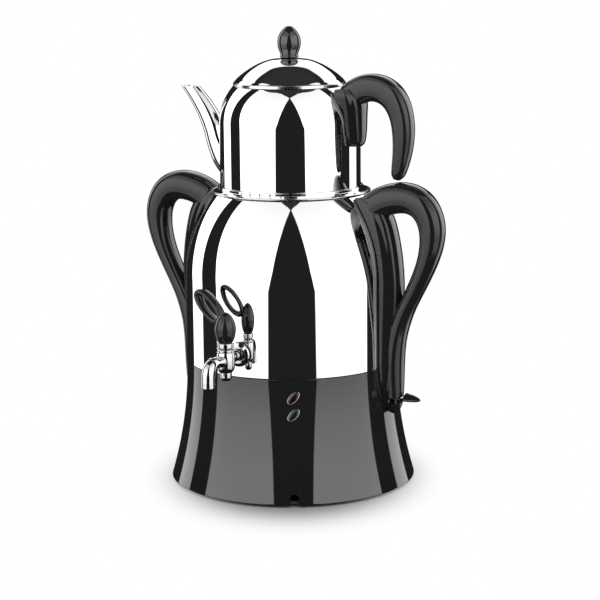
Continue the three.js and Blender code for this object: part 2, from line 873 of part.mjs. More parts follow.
function archTool(azimuth) {
  const outline = new THREE.Shape();
  outline.moveTo(-NOTCH.halfWidth, -BASE.bottom);
  outline.lineTo(NOTCH.halfWidth, -BASE.bottom);
  for (let i = 0; i <= NOTCH.arcSteps; i += 1) {
    const angle = (Math.PI * i) / NOTCH.arcSteps;
    outline.lineTo(NOTCH.halfWidth * Math.cos(angle), NOTCH.crown + NOTCH.halfWidth * Math.sin(angle));
  }
  const tool = new THREE.ExtrudeGeometry(outline, { depth: 2 * NOTCH.depth, bevelEnabled: false });
  tool.rotateX(Math.PI / 2).rotateZ(Math.PI / 2);
  return aroundZ(tool.translate(plateRadius + GAP, 0, 0), azimuth);
}

function lampStations(lamp, inner, outer, long, short) {
  return ovalBar([[inner, long, short], [outer, long, short]], lamp, LAMPS.tilt, FACETS.rod);
}

const rimRadius = baseRadius(BASE.bottom);
const shellProfile = [
  [rimRadius - BASE.wall, BASE.bottom],
  [rimRadius - BASE.rimRound, BASE.bottom],
  ...baseColumn(BASE.bottom + BASE.rimRound, BASE.bendTop, BASE.outerRows, 0),
  [BASE.topRadius, BASE.top - BASE.seamRound],
  [BASE.topRadius - BASE.seamRound, BASE.top],
  [BASE.lip, BASE.top],
  [BASE.lip, BASE.top - BASE.lipWall],
  ...baseColumn(BASE.top - BASE.lipWall, BASE.bottom + BASE.wall, BASE.innerRows, -BASE.wall),
];
const lampOuter = TANK.radius + BASE.flare;
const lampHoles = [redZ, greenZ].map((z) =>
  aroundZ(lampStations(z, LAMP_HOLDER.inner, lampOuter, LAMP_HOLE.long, LAMP_HOLE.short), LAMPS.azimuth),
);
const screwHoles = [1, -1].map((side) =>
  alongX(rod(HANDLE_SCREW.bore, BASE.lip, HANDLE_SCREW.end, FACETS.pin))
    .translate(0, 0, HANDLE_SCREW.z)
    .rotateZ(side > 0 ? 0 : Math.PI),
);
const leverWindow = block(
  BASE.lip,
  LEVER_SLOT.start + GAP,
  -LEVER_SLOT.windowHalf,
  LEVER_SLOT.windowHalf,
  LEVER_SLOT.low,
  LEVER_SLOT.high,
);
const inletHole = block(
  -INLET.halfWide - GAP,
  INLET.halfWide + GAP,
  BASE.lip,
  inletFront + BASE.flare,
  inletZ - INLET.halfHigh - GAP,
  inletZ + INLET.halfHigh + GAP,
);
add(
  "base_shell",
  cut(
    closedTurned(shellProfile, FACETS.body),
    ...NOTCH.azimuths.map(archTool),
    ...lampHoles,
    ...screwHoles,
    leverWindow,
    inletHole,
  ),
  "black",
);

const footPlaces = FOOT_AZIMUTHS.map((azimuth) => polar(plateRadius - FOOT.inset, azimuth));
const postPlaces = POST_AZIMUTHS.map((azimuth) => polar(POST.ring, azimuth));
add(
  "base_plate",
  cut(
    rod(plateRadius, PLATE.bottom, plateTop, FACETS.body),
    ...footPlaces.map(([x, y]) => rod(FOOT.hole, 0, POST.pilotTop, FACETS.pin).translate(x, y, 0)),
    ...postPlaces.map(([x, y]) => rod(POST.pilot, 0, POST.pilotTop, FACETS.pin).translate(x, y, 0)),
  ),
  "black",
);
footPlaces.forEach(([x, y], i) => {
  const profile = [
    [0, 0],
    [FOOT.radius - FOOT.bevel, 0],
    [FOOT.radius, FOOT.bevel],
    [FOOT.radius, FOOT.top],
    [FOOT.stub, FOOT.top],
    [FOOT.stub, FOOT.stubTop],
    [0, FOOT.stubTop],
  ];
  add(`base_foot_${i + 1}`, turned(profile, FACETS.rod).translate(x, y, 0), "rubber");
});
const lipUnder = BASE.top - BASE.lipWall;
postPlaces.forEach(([x, y], i) => {
  const profile = [
    [0, POST.pilotTop],
    [POST.pilot, POST.pilotTop],
    [POST.pilot, plateTop + GAP],
    [POST.radius, plateTop + GAP],
    [POST.radius, POST.shoulder],
    [POST.neck, POST.shoulder],
    [POST.neck, lipUnder - GAP],
    [0, lipUnder - GAP],
  ];
  add(`base_post_${i + 1}`, turned(profile, FACETS.pin).translate(x, y, 0), "dull");
  const screw = [
    [0, POST_SCREW.headBottom],
    [POST_SCREW.head, POST_SCREW.headBottom],
    [POST_SCREW.head, POST_SCREW.headTop],
    [POST_SCREW.shank, POST_SCREW.headTop],
    [POST_SCREW.shank, POST_SCREW.top],
    [0, POST_SCREW.top],
  ];
  add(`base_screw_${i + 1}`, turned(screw, FACETS.pin).translate(x, y, 0), "dull");
});
const shieldLow = POST.shoulder + GAP;
const shieldProfile = [
  [0, shieldLow],
  [BASE.lip, shieldLow],
  [BASE.lip, shieldLow + SHIELD.rimHeight],
  [BASE.lip - SHIELD.rimWall, shieldLow + SHIELD.rimHeight],
  [BASE.lip - SHIELD.rimWall, shieldLow + SHIELD.wall],
  [0, shieldLow + SHIELD.wall],
];
const shieldHole = () => rod(SHIELD.postHole, POST.shoulder - GAP, lipUnder, FACETS.pin);
add(
  "heat_shield",
  cut(
    turned(shieldProfile, FACETS.part),
    ...postPlaces.map(([x, y]) => shieldHole().translate(x, y, 0)),
  ),
  "dull",
);

// Heater

const heaterTop = TANK.floor - GAP;
const heaterUnder = heaterTop - HEATER.thickness;
add("heater_plate", rod(TANK.radius * HEATER.radiusShare, heaterUnder, heaterTop, FACETS.part), "aluminium");

const elementRadius = TANK.radius * ELEMENT.ringShare;

class ElementCurve extends THREE.Curve {
  getPoint(share, target = new THREE.Vector3()) {
    const open = radians(ELEMENT.openAngle);
    const angle = (Math.PI + open) / 2 + (2 * Math.PI - open) * share;
    const edge = Math.max(0, 1 - Math.min(share, 1 - share) / ELEMENT.edgeShare);
    const x = elementRadius * Math.cos(angle);
    const y = elementRadius * Math.sin(angle);
    const z = heaterUnder - GAP - ELEMENT.tube - ELEMENT.drop * edge * edge;
    return target.set(x, y, z);
  }
}
const elementRing = Array.from({ length: ELEMENT.steps + 1 }, (_, i) => {
  const curve = new ElementCurve();
  const at = curve.getPoint(i / ELEMENT.steps);
  const along = curve.getTangent(i / ELEMENT.steps);
  const side = new THREE.Vector3(0, 0, 1).cross(along).normalize();
  const up = along.clone().cross(side);
  return Array.from({ length: FACETS.pin }, (__, j) => {
    const angle = (2 * Math.PI * j) / FACETS.pin;
    return at
      .clone()
      .addScaledVector(side, ELEMENT.tube * Math.cos(angle))
      .addScaledVector(up, ELEMENT.tube * Math.sin(angle));
  });
});
add("heating_element", lofted(elementRing), "dull");

const cutoutTop = heaterUnder - GAP;
const cutoutLow = cutoutTop - CUTOUT.height;
add(
  "thermal_cutout",
  join(
    rod(CUTOUT.radius, cutoutLow, cutoutTop, FACETS.rod),
    ...[1, -1].map((side) =>
      block(
        side * CUTOUT.tabHalf - CUTOUT.tabThick,
        side * CUTOUT.tabHalf + CUTOUT.tabThick,
        -CUTOUT.tabHalf,
        CUTOUT.tabHalf,
        cutoutLow - CUTOUT.tabHeight,
        cutoutLow + CUTOUT.tabThick,
      ),
    ),
  ).translate(CUTOUT.x, CUTOUT.y, 0),
  "ceramic",
);

// Thermostat, its bracket and its lever

const bracketTop = THERMOSTAT.bottom - GAP;
const bracketLow = plateTop + GAP;
const sheet = THERMOSTAT_BRACKET.sheet;
const half = THERMOSTAT_BRACKET.halfWidth;
add(
  "thermostat_bracket",
  join(
    block(THERMOSTAT.left, BASE.lip, -half, half, bracketLow, bracketLow + sheet),
    block(THERMOSTAT.left, THERMOSTAT.left + sheet, -half, half, bracketLow, bracketTop),
    block(THERMOSTAT.left, THERMOSTAT_BRACKET.right, -half, half, bracketTop - sheet, bracketTop),
  ),
  "dull",
);
const atSpindle = (geometry) => geometry.translate(THERMOSTAT.spindleX, 0, 0);
add(
  "thermostat_body",
  join(
    block(
      THERMOSTAT.left,
      THERMOSTAT.right,
      -THERMOSTAT.halfWidth,
      THERMOSTAT.halfWidth,
      THERMOSTAT.bottom,
      THERMOSTAT.top,
    ),
    atSpindle(rod(THERMOSTAT.collar, THERMOSTAT.top - GAP, THERMOSTAT.collarTop, FACETS.rod)),
    atSpindle(rod(THERMOSTAT.spindle, THERMOSTAT.top - GAP, THERMOSTAT.spindleTop, FACETS.rod)),
  ),
  "ceramic",
);
const paddleSections = paddleStations.map(([x, z, wide, thick]) =>
  Array.from({ length: FACETS.rod }, (_, j) => {
    const [a, b] = roundness((2 * Math.PI * j) / FACETS.rod, GRIP.power);
    const c = Math.cos(radians(PADDLE.tilt));
    const s = Math.sin(radians(PADDLE.tilt));
    return new THREE.Vector3(x, a * wide * c - b * thick * s, z + a * wide * s + b * thick * c);
  }),
);
add(
  "thermostat_lever",
  cut(
    join(
      atSpindle(rod(LEVER.hub, LEVER.bottom, LEVER.top, FACETS.rod)),
      block(
        LEVER.neckStart,
        LEVER.neckEnd,
        -LEVER.neckHalf,
        LEVER.neckHalf,
        LEVER.bottom + LEVER.neckBottomRise,
        LEVER.top - LEVER.neckTopDrop,
      ),
      lofted(paddleSections),
    ),
    atSpindle(rod(LEVER.bore, LEVER.bottom - GAP, LEVER.top + GAP, FACETS.rod)),
  ),
  "black",
);

// Lamps

const lamps = [
  ["red", redZ],
  ["green", greenZ],
];
const holderBlank = block(
  LAMP_HOLDER.inner,
  LAMP_HOLDER.outer,
  -LAMP_HOLDER.halfWidth,
  LAMP_HOLDER.halfWidth,
  LAMP_HOLDER.low,
  LAMP_HOLDER.high,
);
const pocketEnd = LAMP_HOLDER.outer + GAP;
const pockets = lamps.map(([, z]) =>
  lampStations(z, LAMP_HOLDER.pocketFloor, pocketEnd, LAMP_HOLDER.pocketLong, LAMP_HOLDER.pocketShort),
);
const holder = meet(cut(holderBlank, ...pockets), baseBlank(-BASE.wall - GAP, FACETS.fine));
add("lamp_holder", aroundZ(holder, LAMPS.azimuth), "ceramic");
lamps.forEach(([name, z]) => {
  const wall = baseRadius(z);
  const bezel = cut(
    lampStations(z, BEZEL.root, wall + BEZEL.proud, BEZEL.long, BEZEL.short),
    lampStations(z, BEZEL.root - GAP, wall + BEZEL.proud + GAP, BEZEL.innerLong, BEZEL.innerShort),
    baseBlank(GAP, FACETS.fine),
  );
  add(`indicator_bezel_${name}`, aroundZ(bezel, LAMPS.azimuth), "chrome");
  const lens = ovalBar(
    [
      [LENS.back, LENS.long, LENS.short],
      [wall + LENS.proud, LENS.long, LENS.short],
      [wall + LENS.crown, LENS.crownLong, LENS.crownShort],
    ],
    z,
    LAMPS.tilt,
    FACETS.rod,
  );
  add(`indicator_lens_${name}`, aroundZ(lens, LAMPS.azimuth), name);
});

// Terminal block and power inlet

add(
  "terminal_block",
  block(
    TERMINALS.x - TERMINALS.halfLong,
    TERMINALS.x + TERMINALS.halfLong,
    TERMINALS.y - TERMINALS.halfWide,
    TERMINALS.y + TERMINALS.halfWide,
    plateTop + GAP,
    plateTop + GAP + TERMINALS.height,
  ),
  "ceramic",
);
const pinPlaces = [
  ["line", -INLET.sidePinX, inletZ - INLET.sidePinDrop],
  ["neutral", INLET.sidePinX, inletZ - INLET.sidePinDrop],
  ["earth", 0, inletZ + INLET.earthPinRise],
];
const pinBlock = (x, z, from, to, grow) =>
  block(
    x - INLET.pinHalfWide - grow,
    x + INLET.pinHalfWide + grow,
    from,
    to,
    z - INLET.pinHalfHigh - grow,
    z + INLET.pinHalfHigh + grow,
  );
add(
  "inlet_housing",
  cut(
    block(
      -INLET.halfWide,
      INLET.halfWide,
      BASE.lip,
      inletFront,
      inletZ - INLET.halfHigh,
      inletZ + INLET.halfHigh,
    ),
    block(
      -INLET.socketHalfWide,
      INLET.socketHalfWide,
      INLET.floor,
      inletFront + GAP,
      inletZ - INLET.socketHalfHigh,
      inletZ + INLET.socketHalfHigh,
    ),
    ...pinPlaces.map(([, x, z]) => pinBlock(x, z, BASE.lip - GAP, INLET.floor + GAP, GAP)),
  ),
  "black",
);
pinPlaces.forEach(([name, x, z]) => {
  add(`inlet_pin_${name}`, pinBlock(x, z, INLET.pinBack, inletFront - INLET.pinInset, 0), "brass");
});

// Tank

const tankOuter = shoulder(TANK.radius, TANK.rise, TANK.wallTop, tankMouth, TANK.rows);
const rimNormal = new THREE.Vector2(Math.cos(tankRim) / TANK.radius, Math.sin(tankRim) / TANK.rise);
rimNormal.normalize();
const tankMouthIn = tankMouth - rimNormal.x * TANK.wall;
const tankInner = shoulder(
  TANK.radius - TANK.wall,
  TANK.rise - TANK.wall,
  TANK.wallTop,
  tankMouthIn,
  TANK.rows,
).reverse();
const tankProfile = [
  [0, TANK.floor],
  [TANK.radius - TANK.heel, TANK.floor],
  [TANK.radius, TANK.floor + TANK.heel],
  ...tankOuter,
  ...tankInner,
  [TANK.radius - TANK.wall, TANK.floor + TANK.heel + TANK.wall],
  [TANK.radius - TANK.heel - TANK.wall, TANK.floor + TANK.wall],
  [0, TANK.floor + TANK.wall],
];
add(
  "tank_shell",
  cut(
    turned(tankProfile, FACETS.body),
    alongTap(rod(TANK.pipeHole, TAP_PIPE.inner, TAP.reach, FACETS.rod)),
  ),
  "steel",
);

// Handles of the tank

const studZ = TANK.wallTop - HANDLE_STUD.drop;

function handle(side) {
  const ringClear = rod(
    POT.radius + RING.edge + HANDLE_CLEAR.step,
    tankMouthZ - HANDLE_CLEAR.drop,
    tankMouthZ + HANDLE_CLEAR.rise,
    FACETS.body,
  );
  const core = TANK.radius - INSET.handleCore;
  const pocketEnds = TANK.radius + GAP + HANDLE_STUD.plateThick + GAP;
  const pocket = alongX(rod(HANDLE_STUD.plate + GAP, core, pocketEnds, FACETS.rod));
  const studHole = alongX(rod(HANDLE_STUD.stud + GAP, core, HANDLE_STUD.end + GAP, FACETS.pin));
  const screwHole = alongX(rod(HANDLE_SCREW.bore, core, HANDLE_SCREW.end + GAP, FACETS.pin));
  const tools = [
    tankBlank(GAP),
    baseBlank(GAP),
    ringClear,
    pocket.translate(0, 0, studZ),
    studHole.translate(0, 0, studZ),
    screwHole.translate(0, 0, HANDLE_SCREW.z),
  ];
  if (side > 0) {
    tools.push(
      block(
        LEVER_SLOT.start,
        HANDLE_SCREW.end + BASE.flare,
        -TANK.radius,
        TANK.radius,
        LEVER_SLOT.low,
        LEVER_SLOT.high,
      ),
      leverWindow,
    );
  }
  const whole = join(
    swept(gripLine, GRIP.steps, GRIP.facets, GRIP.power),
    pad(padStations, core, TANK.radius),
  );
  const shape = cut(whole, ...tools);
  return side > 0 ? shape : shape.scale(-1, 1, 1);
}

[["right", 1], ["left", -1]].forEach(([name, side]) => {
  const place = (geometry) => (side > 0 ? geometry : geometry.scale(-1, 1, 1));
  add(`handle_${name}`, handle(side), "black");
  const plateStart = TANK.radius + GAP;
  const stud = turned(
    [
      [0, plateStart],
      [HANDLE_STUD.plate, plateStart],
      [HANDLE_STUD.plate, plateStart + HANDLE_STUD.plateThick],
      [HANDLE_STUD.stud, plateStart + HANDLE_STUD.plateThick],
      [HANDLE_STUD.stud, HANDLE_STUD.end],
      [0, HANDLE_STUD.end],
    ],
    FACETS.pin,
  );
  add(`handle_stud_${name}`, place(alongX(stud).translate(0, 0, studZ)), "dull");
  const wallIn = baseRadius(HANDLE_SCREW.z) - BASE.wall - 2 * GAP;
  const screw = turned(
    [
      [0, wallIn - HANDLE_SCREW.headThick],
      [HANDLE_SCREW.head, wallIn - HANDLE_SCREW.headThick],
      [HANDLE_SCREW.head, wallIn],
      [HANDLE_SCREW.shank, wallIn],
      [HANDLE_SCREW.shank, HANDLE_SCREW.end],
      [0, HANDLE_SCREW.end],
    ],
    FACETS.pin,
  );
  add(`handle_screw_${name}`, place(alongX(screw).translate(0, 0, HANDLE_SCREW.z)), "dull");
});

// Tap

const flange = [
  [TAP_FLANGE.bore, TAP_FLANGE.back],
  [TAP_FLANGE.radius, TAP_FLANGE.back],
  [TAP_FLANGE.radius, TAP_FLANGE.middle],
  [TAP_FLANGE.bevel, TAP_FLANGE.step],
  [TAP_FLANGE.faceRadius, TAP_FLANGE.face],
  [TAP_FLANGE.bore, TAP_FLANGE.face],
];
add("tap_flange", alongTap(closedTurned(flange, FACETS.part)), "chrome");
add(
  "tap_gasket_outer",
  cut(
    alongTap(tube(TAP_FLANGE.bore, TAP_GASKET.radius, TAP_GASKET.root, TAP_GASKET.face, FACETS.rod)),
    tankBlank(GAP),
  ),
  "rubber",
);
add(
  "tap_gasket_inner",
  meet(
    alongTap(
      tube(TAP_FLANGE.bore, TAP_INNER_GASKET.radius, TAP_INNER_GASKET.face, TAP_INNER_GASKET.root, FACETS.rod),
    ),
    rod(TANK.radius - TANK.wall - GAP, TANK.floor, TANK.wallTop, FACETS.fine),
  ),
  "rubber",
);
add(
  "tap_locknut",
  cut(
    alongTap(rod(TAP_LOCKNUT.radius, TAP_LOCKNUT.face, TAP_LOCKNUT.back, TAP_LOCKNUT.facets)),
    alongTap(rod(TAP_FLANGE.bore, TAP_LOCKNUT.face - GAP, TAP_LOCKNUT.back + GAP, FACETS.rod)),
  ),
  "dull",
);
const towardTap = (geometry) => geometry.rotateZ(-Math.PI / 2);
const [tipOut, tipZ, tipRadius] = tapSpoutLine.at(-1);
const boreLine = [
  ...sized([TAP_BORE_SHARES], [TAP.reach, tapZ, 0], tapSpoutSizes),
  ...tapSpoutLine.slice(1),
  [tipOut, tipZ - TAP_SPOUT.tipDrop, tipRadius],
].map(([x, z, radius]) => [x, z, radius - TAP_SPOUT.wall]);
add(
  "tap_body",
  cut(
    join(
      alongTap(rod(TAP_PIPE.radius, TAP_PIPE.inner, TAP.reach, FACETS.rod)),
      atTap(turned([[0, barrelLow], ...barrelOutline, [0, barrelTop]], FACETS.rod)),
      towardTap(swept(tapSpoutLine, TAP_SPOUT.steps, TAP_SPOUT.facets, 2)),
    ),
    alongTap(rod(TAP_PIPE.bore, TAP_PIPE.inner - GAP, TAP.reach, FACETS.pin)),
    atTap(rod(TAP_BARREL.bore, barrelLow - GAP, barrelTop + GAP, FACETS.rod)),
    towardTap(swept(boreLine, TAP_SPOUT.steps, TAP_SPOUT.facets, 2)),
  ),
  "chrome",
);
const plugTail = nutTop - TAP_NUT.boreHeight + GAP;
const plugTop = eggLow + TAP_EGG.boreHeight - GAP;
const plug = [
  [0, plugTail],
  [TAP_PLUG.tail, plugTail],
  [TAP_PLUG.tail, barrelLow],
  [TAP_PLUG.radius, barrelLow],
  [TAP_PLUG.radius, barrelTop + TAP_PLUG.rise],
  [TAP_PLUG.stem, barrelTop + TAP_PLUG.rise],
  [TAP_PLUG.stem, plugTop],
  [0, plugTop],
];
add(
  "tap_plug",
  atTap(
    cut(
      turned(plug, FACETS.rod),
      alongX(rod(TAP_PIPE.bore, -TAP_FLANGE.radius, TAP_FLANGE.radius, FACETS.pin)).translate(0, 0, tapZ),
    ),
  ),
  "brass",
);
const bonnetMiddle = (bonnetLow + bonnetTop) / 2;
const bonnet = [
  [TAP_BONNET.bore, bonnetLow],
  [TAP_BONNET.radius, bonnetLow],
  [TAP_BONNET.radius, bonnetMiddle],
  [TAP_BONNET.waist, bonnetTop],
  [TAP_BONNET.bore, bonnetTop],
];
add("tap_bonnet", atTap(closedTurned(bonnet, FACETS.rod)), "chrome");
const collar = [
  [TAP_COLLAR.bore, collarLow],
  [TAP_COLLAR.radius - TAP_COLLAR.bevel, collarLow],
  [TAP_COLLAR.radius, collarLow + TAP_COLLAR.bevel],
  [TAP_COLLAR.radius, collarTop - TAP_COLLAR.bevel],
  [TAP_COLLAR.radius - TAP_COLLAR.bevel, collarTop],
  [TAP_COLLAR.bore, collarTop],
];
add("tap_collar", atTap(closedTurned(collar, FACETS.rod)), "chrome");
const egg = [
  [0, eggLow + TAP_EGG.boreHeight],
  [TAP_EGG.bore, eggLow + TAP_EGG.boreHeight],
  [TAP_EGG.bore, eggLow],
  ...eggOutline,
  [0, eggTop],
];
add("tap_knob", atTap(turned(egg, FACETS.rod)), "black");
const eggClear = [[0, eggLow - GAP], ...eggOutline.map(([r, z]) => [r + GAP, z]), [0, eggTop + GAP]];
const loopSections = Array.from({ length: TAP_LOOP.steps + 1 }, (_, i) => {
  const turn = (2 * Math.PI * i) / TAP_LOOP.steps;
  const c = Math.cos(turn);
  const s = Math.sin(turn);
  const outX = c / TAP_LOOP.long;
  const outZ = s / TAP_LOOP.short;
  const length = Math.hypot(outX, outZ);
  const halfThick = TAP_LOOP.sideHalf + (TAP_LOOP.endHalf - TAP_LOOP.sideHalf) * c * c;
  return Array.from({ length: TAP_LOOP.facets }, (__, j) => {
    const [a, b] = roundness((2 * Math.PI * j) / TAP_LOOP.facets, TAP_LOOP.power);
    return new THREE.Vector3(
      TAP_LOOP.long * c + (outX / length) * a * halfThick,
      b * TAP_LOOP.depthHalf,
      TAP_LOOP.short * s + (outZ / length) * a * halfThick,
    );
  });
});
const loop = lofted(loopSections, false);
loop.rotateY(radians(TAP_LOOP.angle)).translate(TAP_LOOP.x, TAP_LOOP.setBack, tapZ + TAP_LOOP.rise);
loop.rotateZ(radians(TAP_LOOP.turn));
add("tap_lever_loop", atTap(cut(loop, turned(eggClear, FACETS.rod))), "black");
const nut = [
  ...nutOutline,
  [TAP_NUT.bore, nutTop],
  [TAP_NUT.bore, nutTop - TAP_NUT.boreHeight],
  [0, nutTop - TAP_NUT.boreHeight],
];
add("tap_nut", atTap(turned(nut, FACETS.rod)), "chrome");

// Lid ring of the tank

const collarMiddle = (RING.collarOut + RING.collarIn) / 2;
const ringProfile = [
  [RING.spigotIn, -RING.spigotDrop],
  [RING.spigotOut, -RING.spigotDrop],
  [RING.spigotOut, RING.under],
  [RING.edge, RING.under],
  [RING.edge, RING.edgeTop],
  [RING.foot, RING.footTop],
  [RING.collarOut, RING.footTop + GAP],
  [RING.collarOut, RING.collarTop],
  [collarMiddle, RING.collarCrown],
  [RING.collarIn, RING.collarTop],
  [RING.collarIn, RING.ledgeTop],
  [-RING.boreIn, RING.ledgeTop],
  [-RING.boreIn, RING.ledgeUnder],
  [RING.collarIn, RING.ledgeUnder],
  [RING.spigotIn, RING.spigotTop],
].map(([step, rise]) => [POT.radius + step, tankMouthZ + rise]);
const steamStart = POT.radius - STEAM_HOLE.inset;
const steamHoles = STEAM_HOLE_CENTRES.flatMap((centre) =>
  STEAM_HOLE_STEPS.map((step) =>
    alongX(rod(STEAM_HOLE.radius, steamStart, steamStart + STEAM_HOLE.reach, FACETS.hole))
      .translate(0, 0, tankMouthZ + STEAM_HOLE.rise)
      .rotateZ(radians(centre + step * STEAM_HOLE.spacingAngle)),
  ),
);
add("tank_lid_ring", cut(closedTurned(ringProfile, FACETS.body), ...steamHoles), "steel");

// Teapot

const potOuter = shoulder(POT.radius, POT.rise, potWallTop, potMouth, POT.rows);
const potNormal = new THREE.Vector2(Math.cos(potRim) / POT.radius, Math.sin(potRim) / POT.rise).normalize();
const potInner = shoulder(
  POT.radius - POT.wall,
  POT.rise - POT.wall,
  potWallTop,
  potMouth - potNormal.x * POT.wall,
  POT.rows,
).reverse();
const potProfile = [
  [0, potBottom],
  [POT.radius - POT.heel, potBottom],
  [POT.radius - POT.heel * POT.heelOutShare, potBottom + POT.heel * POT.heelUpShare],
  [POT.radius, potBottom + POT.heel],
  ...potOuter,
  ...potInner,
  [POT.radius - POT.wall, potBottom + POT.heel + POT.wall / 2],
  [POT.radius - POT.heel, potBottom + POT.wall],
  [0, potBottom + POT.wall],
];
const strainerStart = POT.radius - STRAINER.inset;
const strainer = [-1, 0, 1].flatMap((row) =>
  [-1, 0, 1].map((column) =>
    alongX(rod(STRAINER.radius, strainerStart, strainerStart + STRAINER.reach, FACETS.hole))
      .translate(0, column * STRAINER.spacing, potBottom + STRAINER.rise + row * STRAINER.spacing)
      .rotateZ(Math.PI),
  ),
);
add("teapot_body", cut(turned(potProfile, FACETS.pot), ...strainer), "steel");
const potCylinder = rod(POT.radius + GAP, 0, potWallTop, FACETS.body);
const [spoutEndX] = spoutLine.at(-1);
const spoutMouthZ = potBottom + POT.wallHeight * SPOUT.mouthRiseShare;
const mouthBlock = block(
  spoutEndX - POT.radius,
  spoutEndX + POT.radius,
  -POT.radius,
  POT.radius,
  spoutMouthZ,
  spoutMouthZ + POT.radius,
);
add(
  "teapot_spout",
  cut(
    swept(spoutLine, SPOUT.steps, SPOUT.facets, 2),
    swept(spoutBore, SPOUT.boreSteps, SPOUT.facets, 2, -SPOUT.wall),
    potCylinder,
    mouthBlock,
  ),
  "steel",
);

function potBlank(offset) {
  const top = shoulder(POT.radius + offset, POT.rise + offset, potWallTop, WELD, POT.fineRows);
  return turned(
    [[0, potBottom], [POT.radius + offset, potBottom], ...top, [0, potWallTop + POT.rise + offset]],
    FACETS.body,
  );
}
const lidClear = rod(lidRim + 2 * GAP, potWallTop, lidTop + LID_KNOB.height, FACETS.pot);
const atStud = (geometry) => alongX(geometry).translate(0, 0, potBottom + POT_STUD.rise);
const potPlateStart = POT.radius + GAP;
const potStudEnd = POT.radius + POT_STUD.proud;
add(
  "teapot_handle",
  cut(
    join(
      swept(potGripLine, POT_GRIP.steps, POT_GRIP.facets, GRIP.power),
      pad(potBlockStations, strainerStart - POT_STUD.plate, POT.radius),
    ),
    potBlank(GAP),
    lidClear,
    atStud(rod(POT_STUD.plate + GAP, strainerStart, potPlateStart + POT_STUD.plateThick + GAP, FACETS.rod)),
    atStud(rod(POT_STUD.stud + GAP, strainerStart, potStudEnd + GAP, FACETS.pin)),
  ),
  "black",
);
const potStud = [
  [0, potPlateStart],
  [POT_STUD.plate, potPlateStart],
  [POT_STUD.plate, potPlateStart + POT_STUD.plateThick],
  [POT_STUD.stud, potPlateStart + POT_STUD.plateThick],
  [POT_STUD.stud, potStudEnd],
  [0, potStudEnd],
];
add("teapot_handle_stud", atStud(turned(potStud, FACETS.pin)), "dull");

// Lid of the teapot

const domeInner = lidDome.slice(1).map(([radius, z]) => [radius - LID.wall / 2, z - LID.wall]).reverse();
const spigot = potMouth - LID.spigotInset;
const lidProfile = [
  [spigot - LID.spigotWall, potMouthZ - LID.spigotDrop],
  [spigot, potMouthZ - LID.spigotDrop],
  [spigot, potMouthZ + LID.rimRise],
  [lidRim, potMouthZ + LID.rimRise],
  [lidRim, lidRimTop],
  ...lidDome,
  [LID.hole, lidTop],
  [LID.hole, lidTop - LID.wall],
  ...domeInner,
  [spigot - LID.spigotWall, lidRimTop],
];
add("teapot_lid", closedTurned(lidProfile, FACETS.pot), "steel");
const [[, knobLow]] = knobOutline;
const knob = [
  [0, lidTop + LID_SCREW.boreRise],
  [LID_SCREW.bore, lidTop + LID_SCREW.boreRise],
  [LID_SCREW.bore, knobLow],
  ...knobOutline,
  [0, lidTop + LID_KNOB.height],
];
add("lid_knob", turned(knob, FACETS.part), "black");
const headTop = lidTop - LID.wall - GAP;
const lidScrew = [
  [0, headTop - LID_SCREW.headThick],
  [LID_SCREW.head, headTop - LID_SCREW.headThick],
  [LID_SCREW.head, headTop - GAP],
  [LID_SCREW.shank, headTop],
  [LID_SCREW.shank, lidTop + LID_SCREW.rise],
  [0, lidTop + LID_SCREW.rise],
];
add("lid_screw", turned(lidScrew, FACETS.pin), "dull");

export default group;
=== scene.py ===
import logging
import math
from collections.abc import Callable, Sequence
from dataclasses import dataclass
from enum import Enum
from itertools import pairwise

import bmesh
import bpy
from mathutils import Matrix, Vector

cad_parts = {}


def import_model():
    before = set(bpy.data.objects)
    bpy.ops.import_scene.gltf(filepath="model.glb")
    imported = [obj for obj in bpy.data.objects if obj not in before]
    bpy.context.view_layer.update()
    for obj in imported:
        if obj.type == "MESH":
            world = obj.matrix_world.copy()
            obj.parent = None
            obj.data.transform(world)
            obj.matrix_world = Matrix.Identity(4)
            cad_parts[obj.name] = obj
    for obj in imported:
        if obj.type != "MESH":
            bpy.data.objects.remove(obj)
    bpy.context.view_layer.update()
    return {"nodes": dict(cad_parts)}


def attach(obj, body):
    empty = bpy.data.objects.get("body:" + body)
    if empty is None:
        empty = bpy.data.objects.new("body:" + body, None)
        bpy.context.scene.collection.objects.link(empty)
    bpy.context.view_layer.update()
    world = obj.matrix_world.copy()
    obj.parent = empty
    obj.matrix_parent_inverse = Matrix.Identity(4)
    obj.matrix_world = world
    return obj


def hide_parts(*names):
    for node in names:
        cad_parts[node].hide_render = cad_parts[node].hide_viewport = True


LOG = logging.getLogger("samovar")

# Sizes are in millimetres and the scene is in metres
MM = 0.001
# The radius of a pole, small enough to close when doubles are merged
TINY = 0.001
# Points closer than this are merged, in metres
MERGE = 4 * TINY * MM
# The least distance between two rows of a smooth line
SHORTEST = 1e-6
# A corner that turns less than this stays as it is
FLAT_TURN = math.radians(14)
# The largest share of a side that an arc at its end takes
ARC_SHARE = 0.42
# How far an arc runs on into its sides, as a share of its reach
RUN_ON = 0.1
# A face looks along an axis when its normal's share of that axis is more than this
FACING = 0.9

Row = tuple[float, ...]
Table = tuple[Row, ...]
Box = tuple[Row, Row]
Profile = list[Row]
Ring = list[Vector]
Colour = tuple[float, float, float, float]
Sockets = dict[str | int, object]
Item = bpy.types.Object
Material = bpy.types.Material


# Shader maths


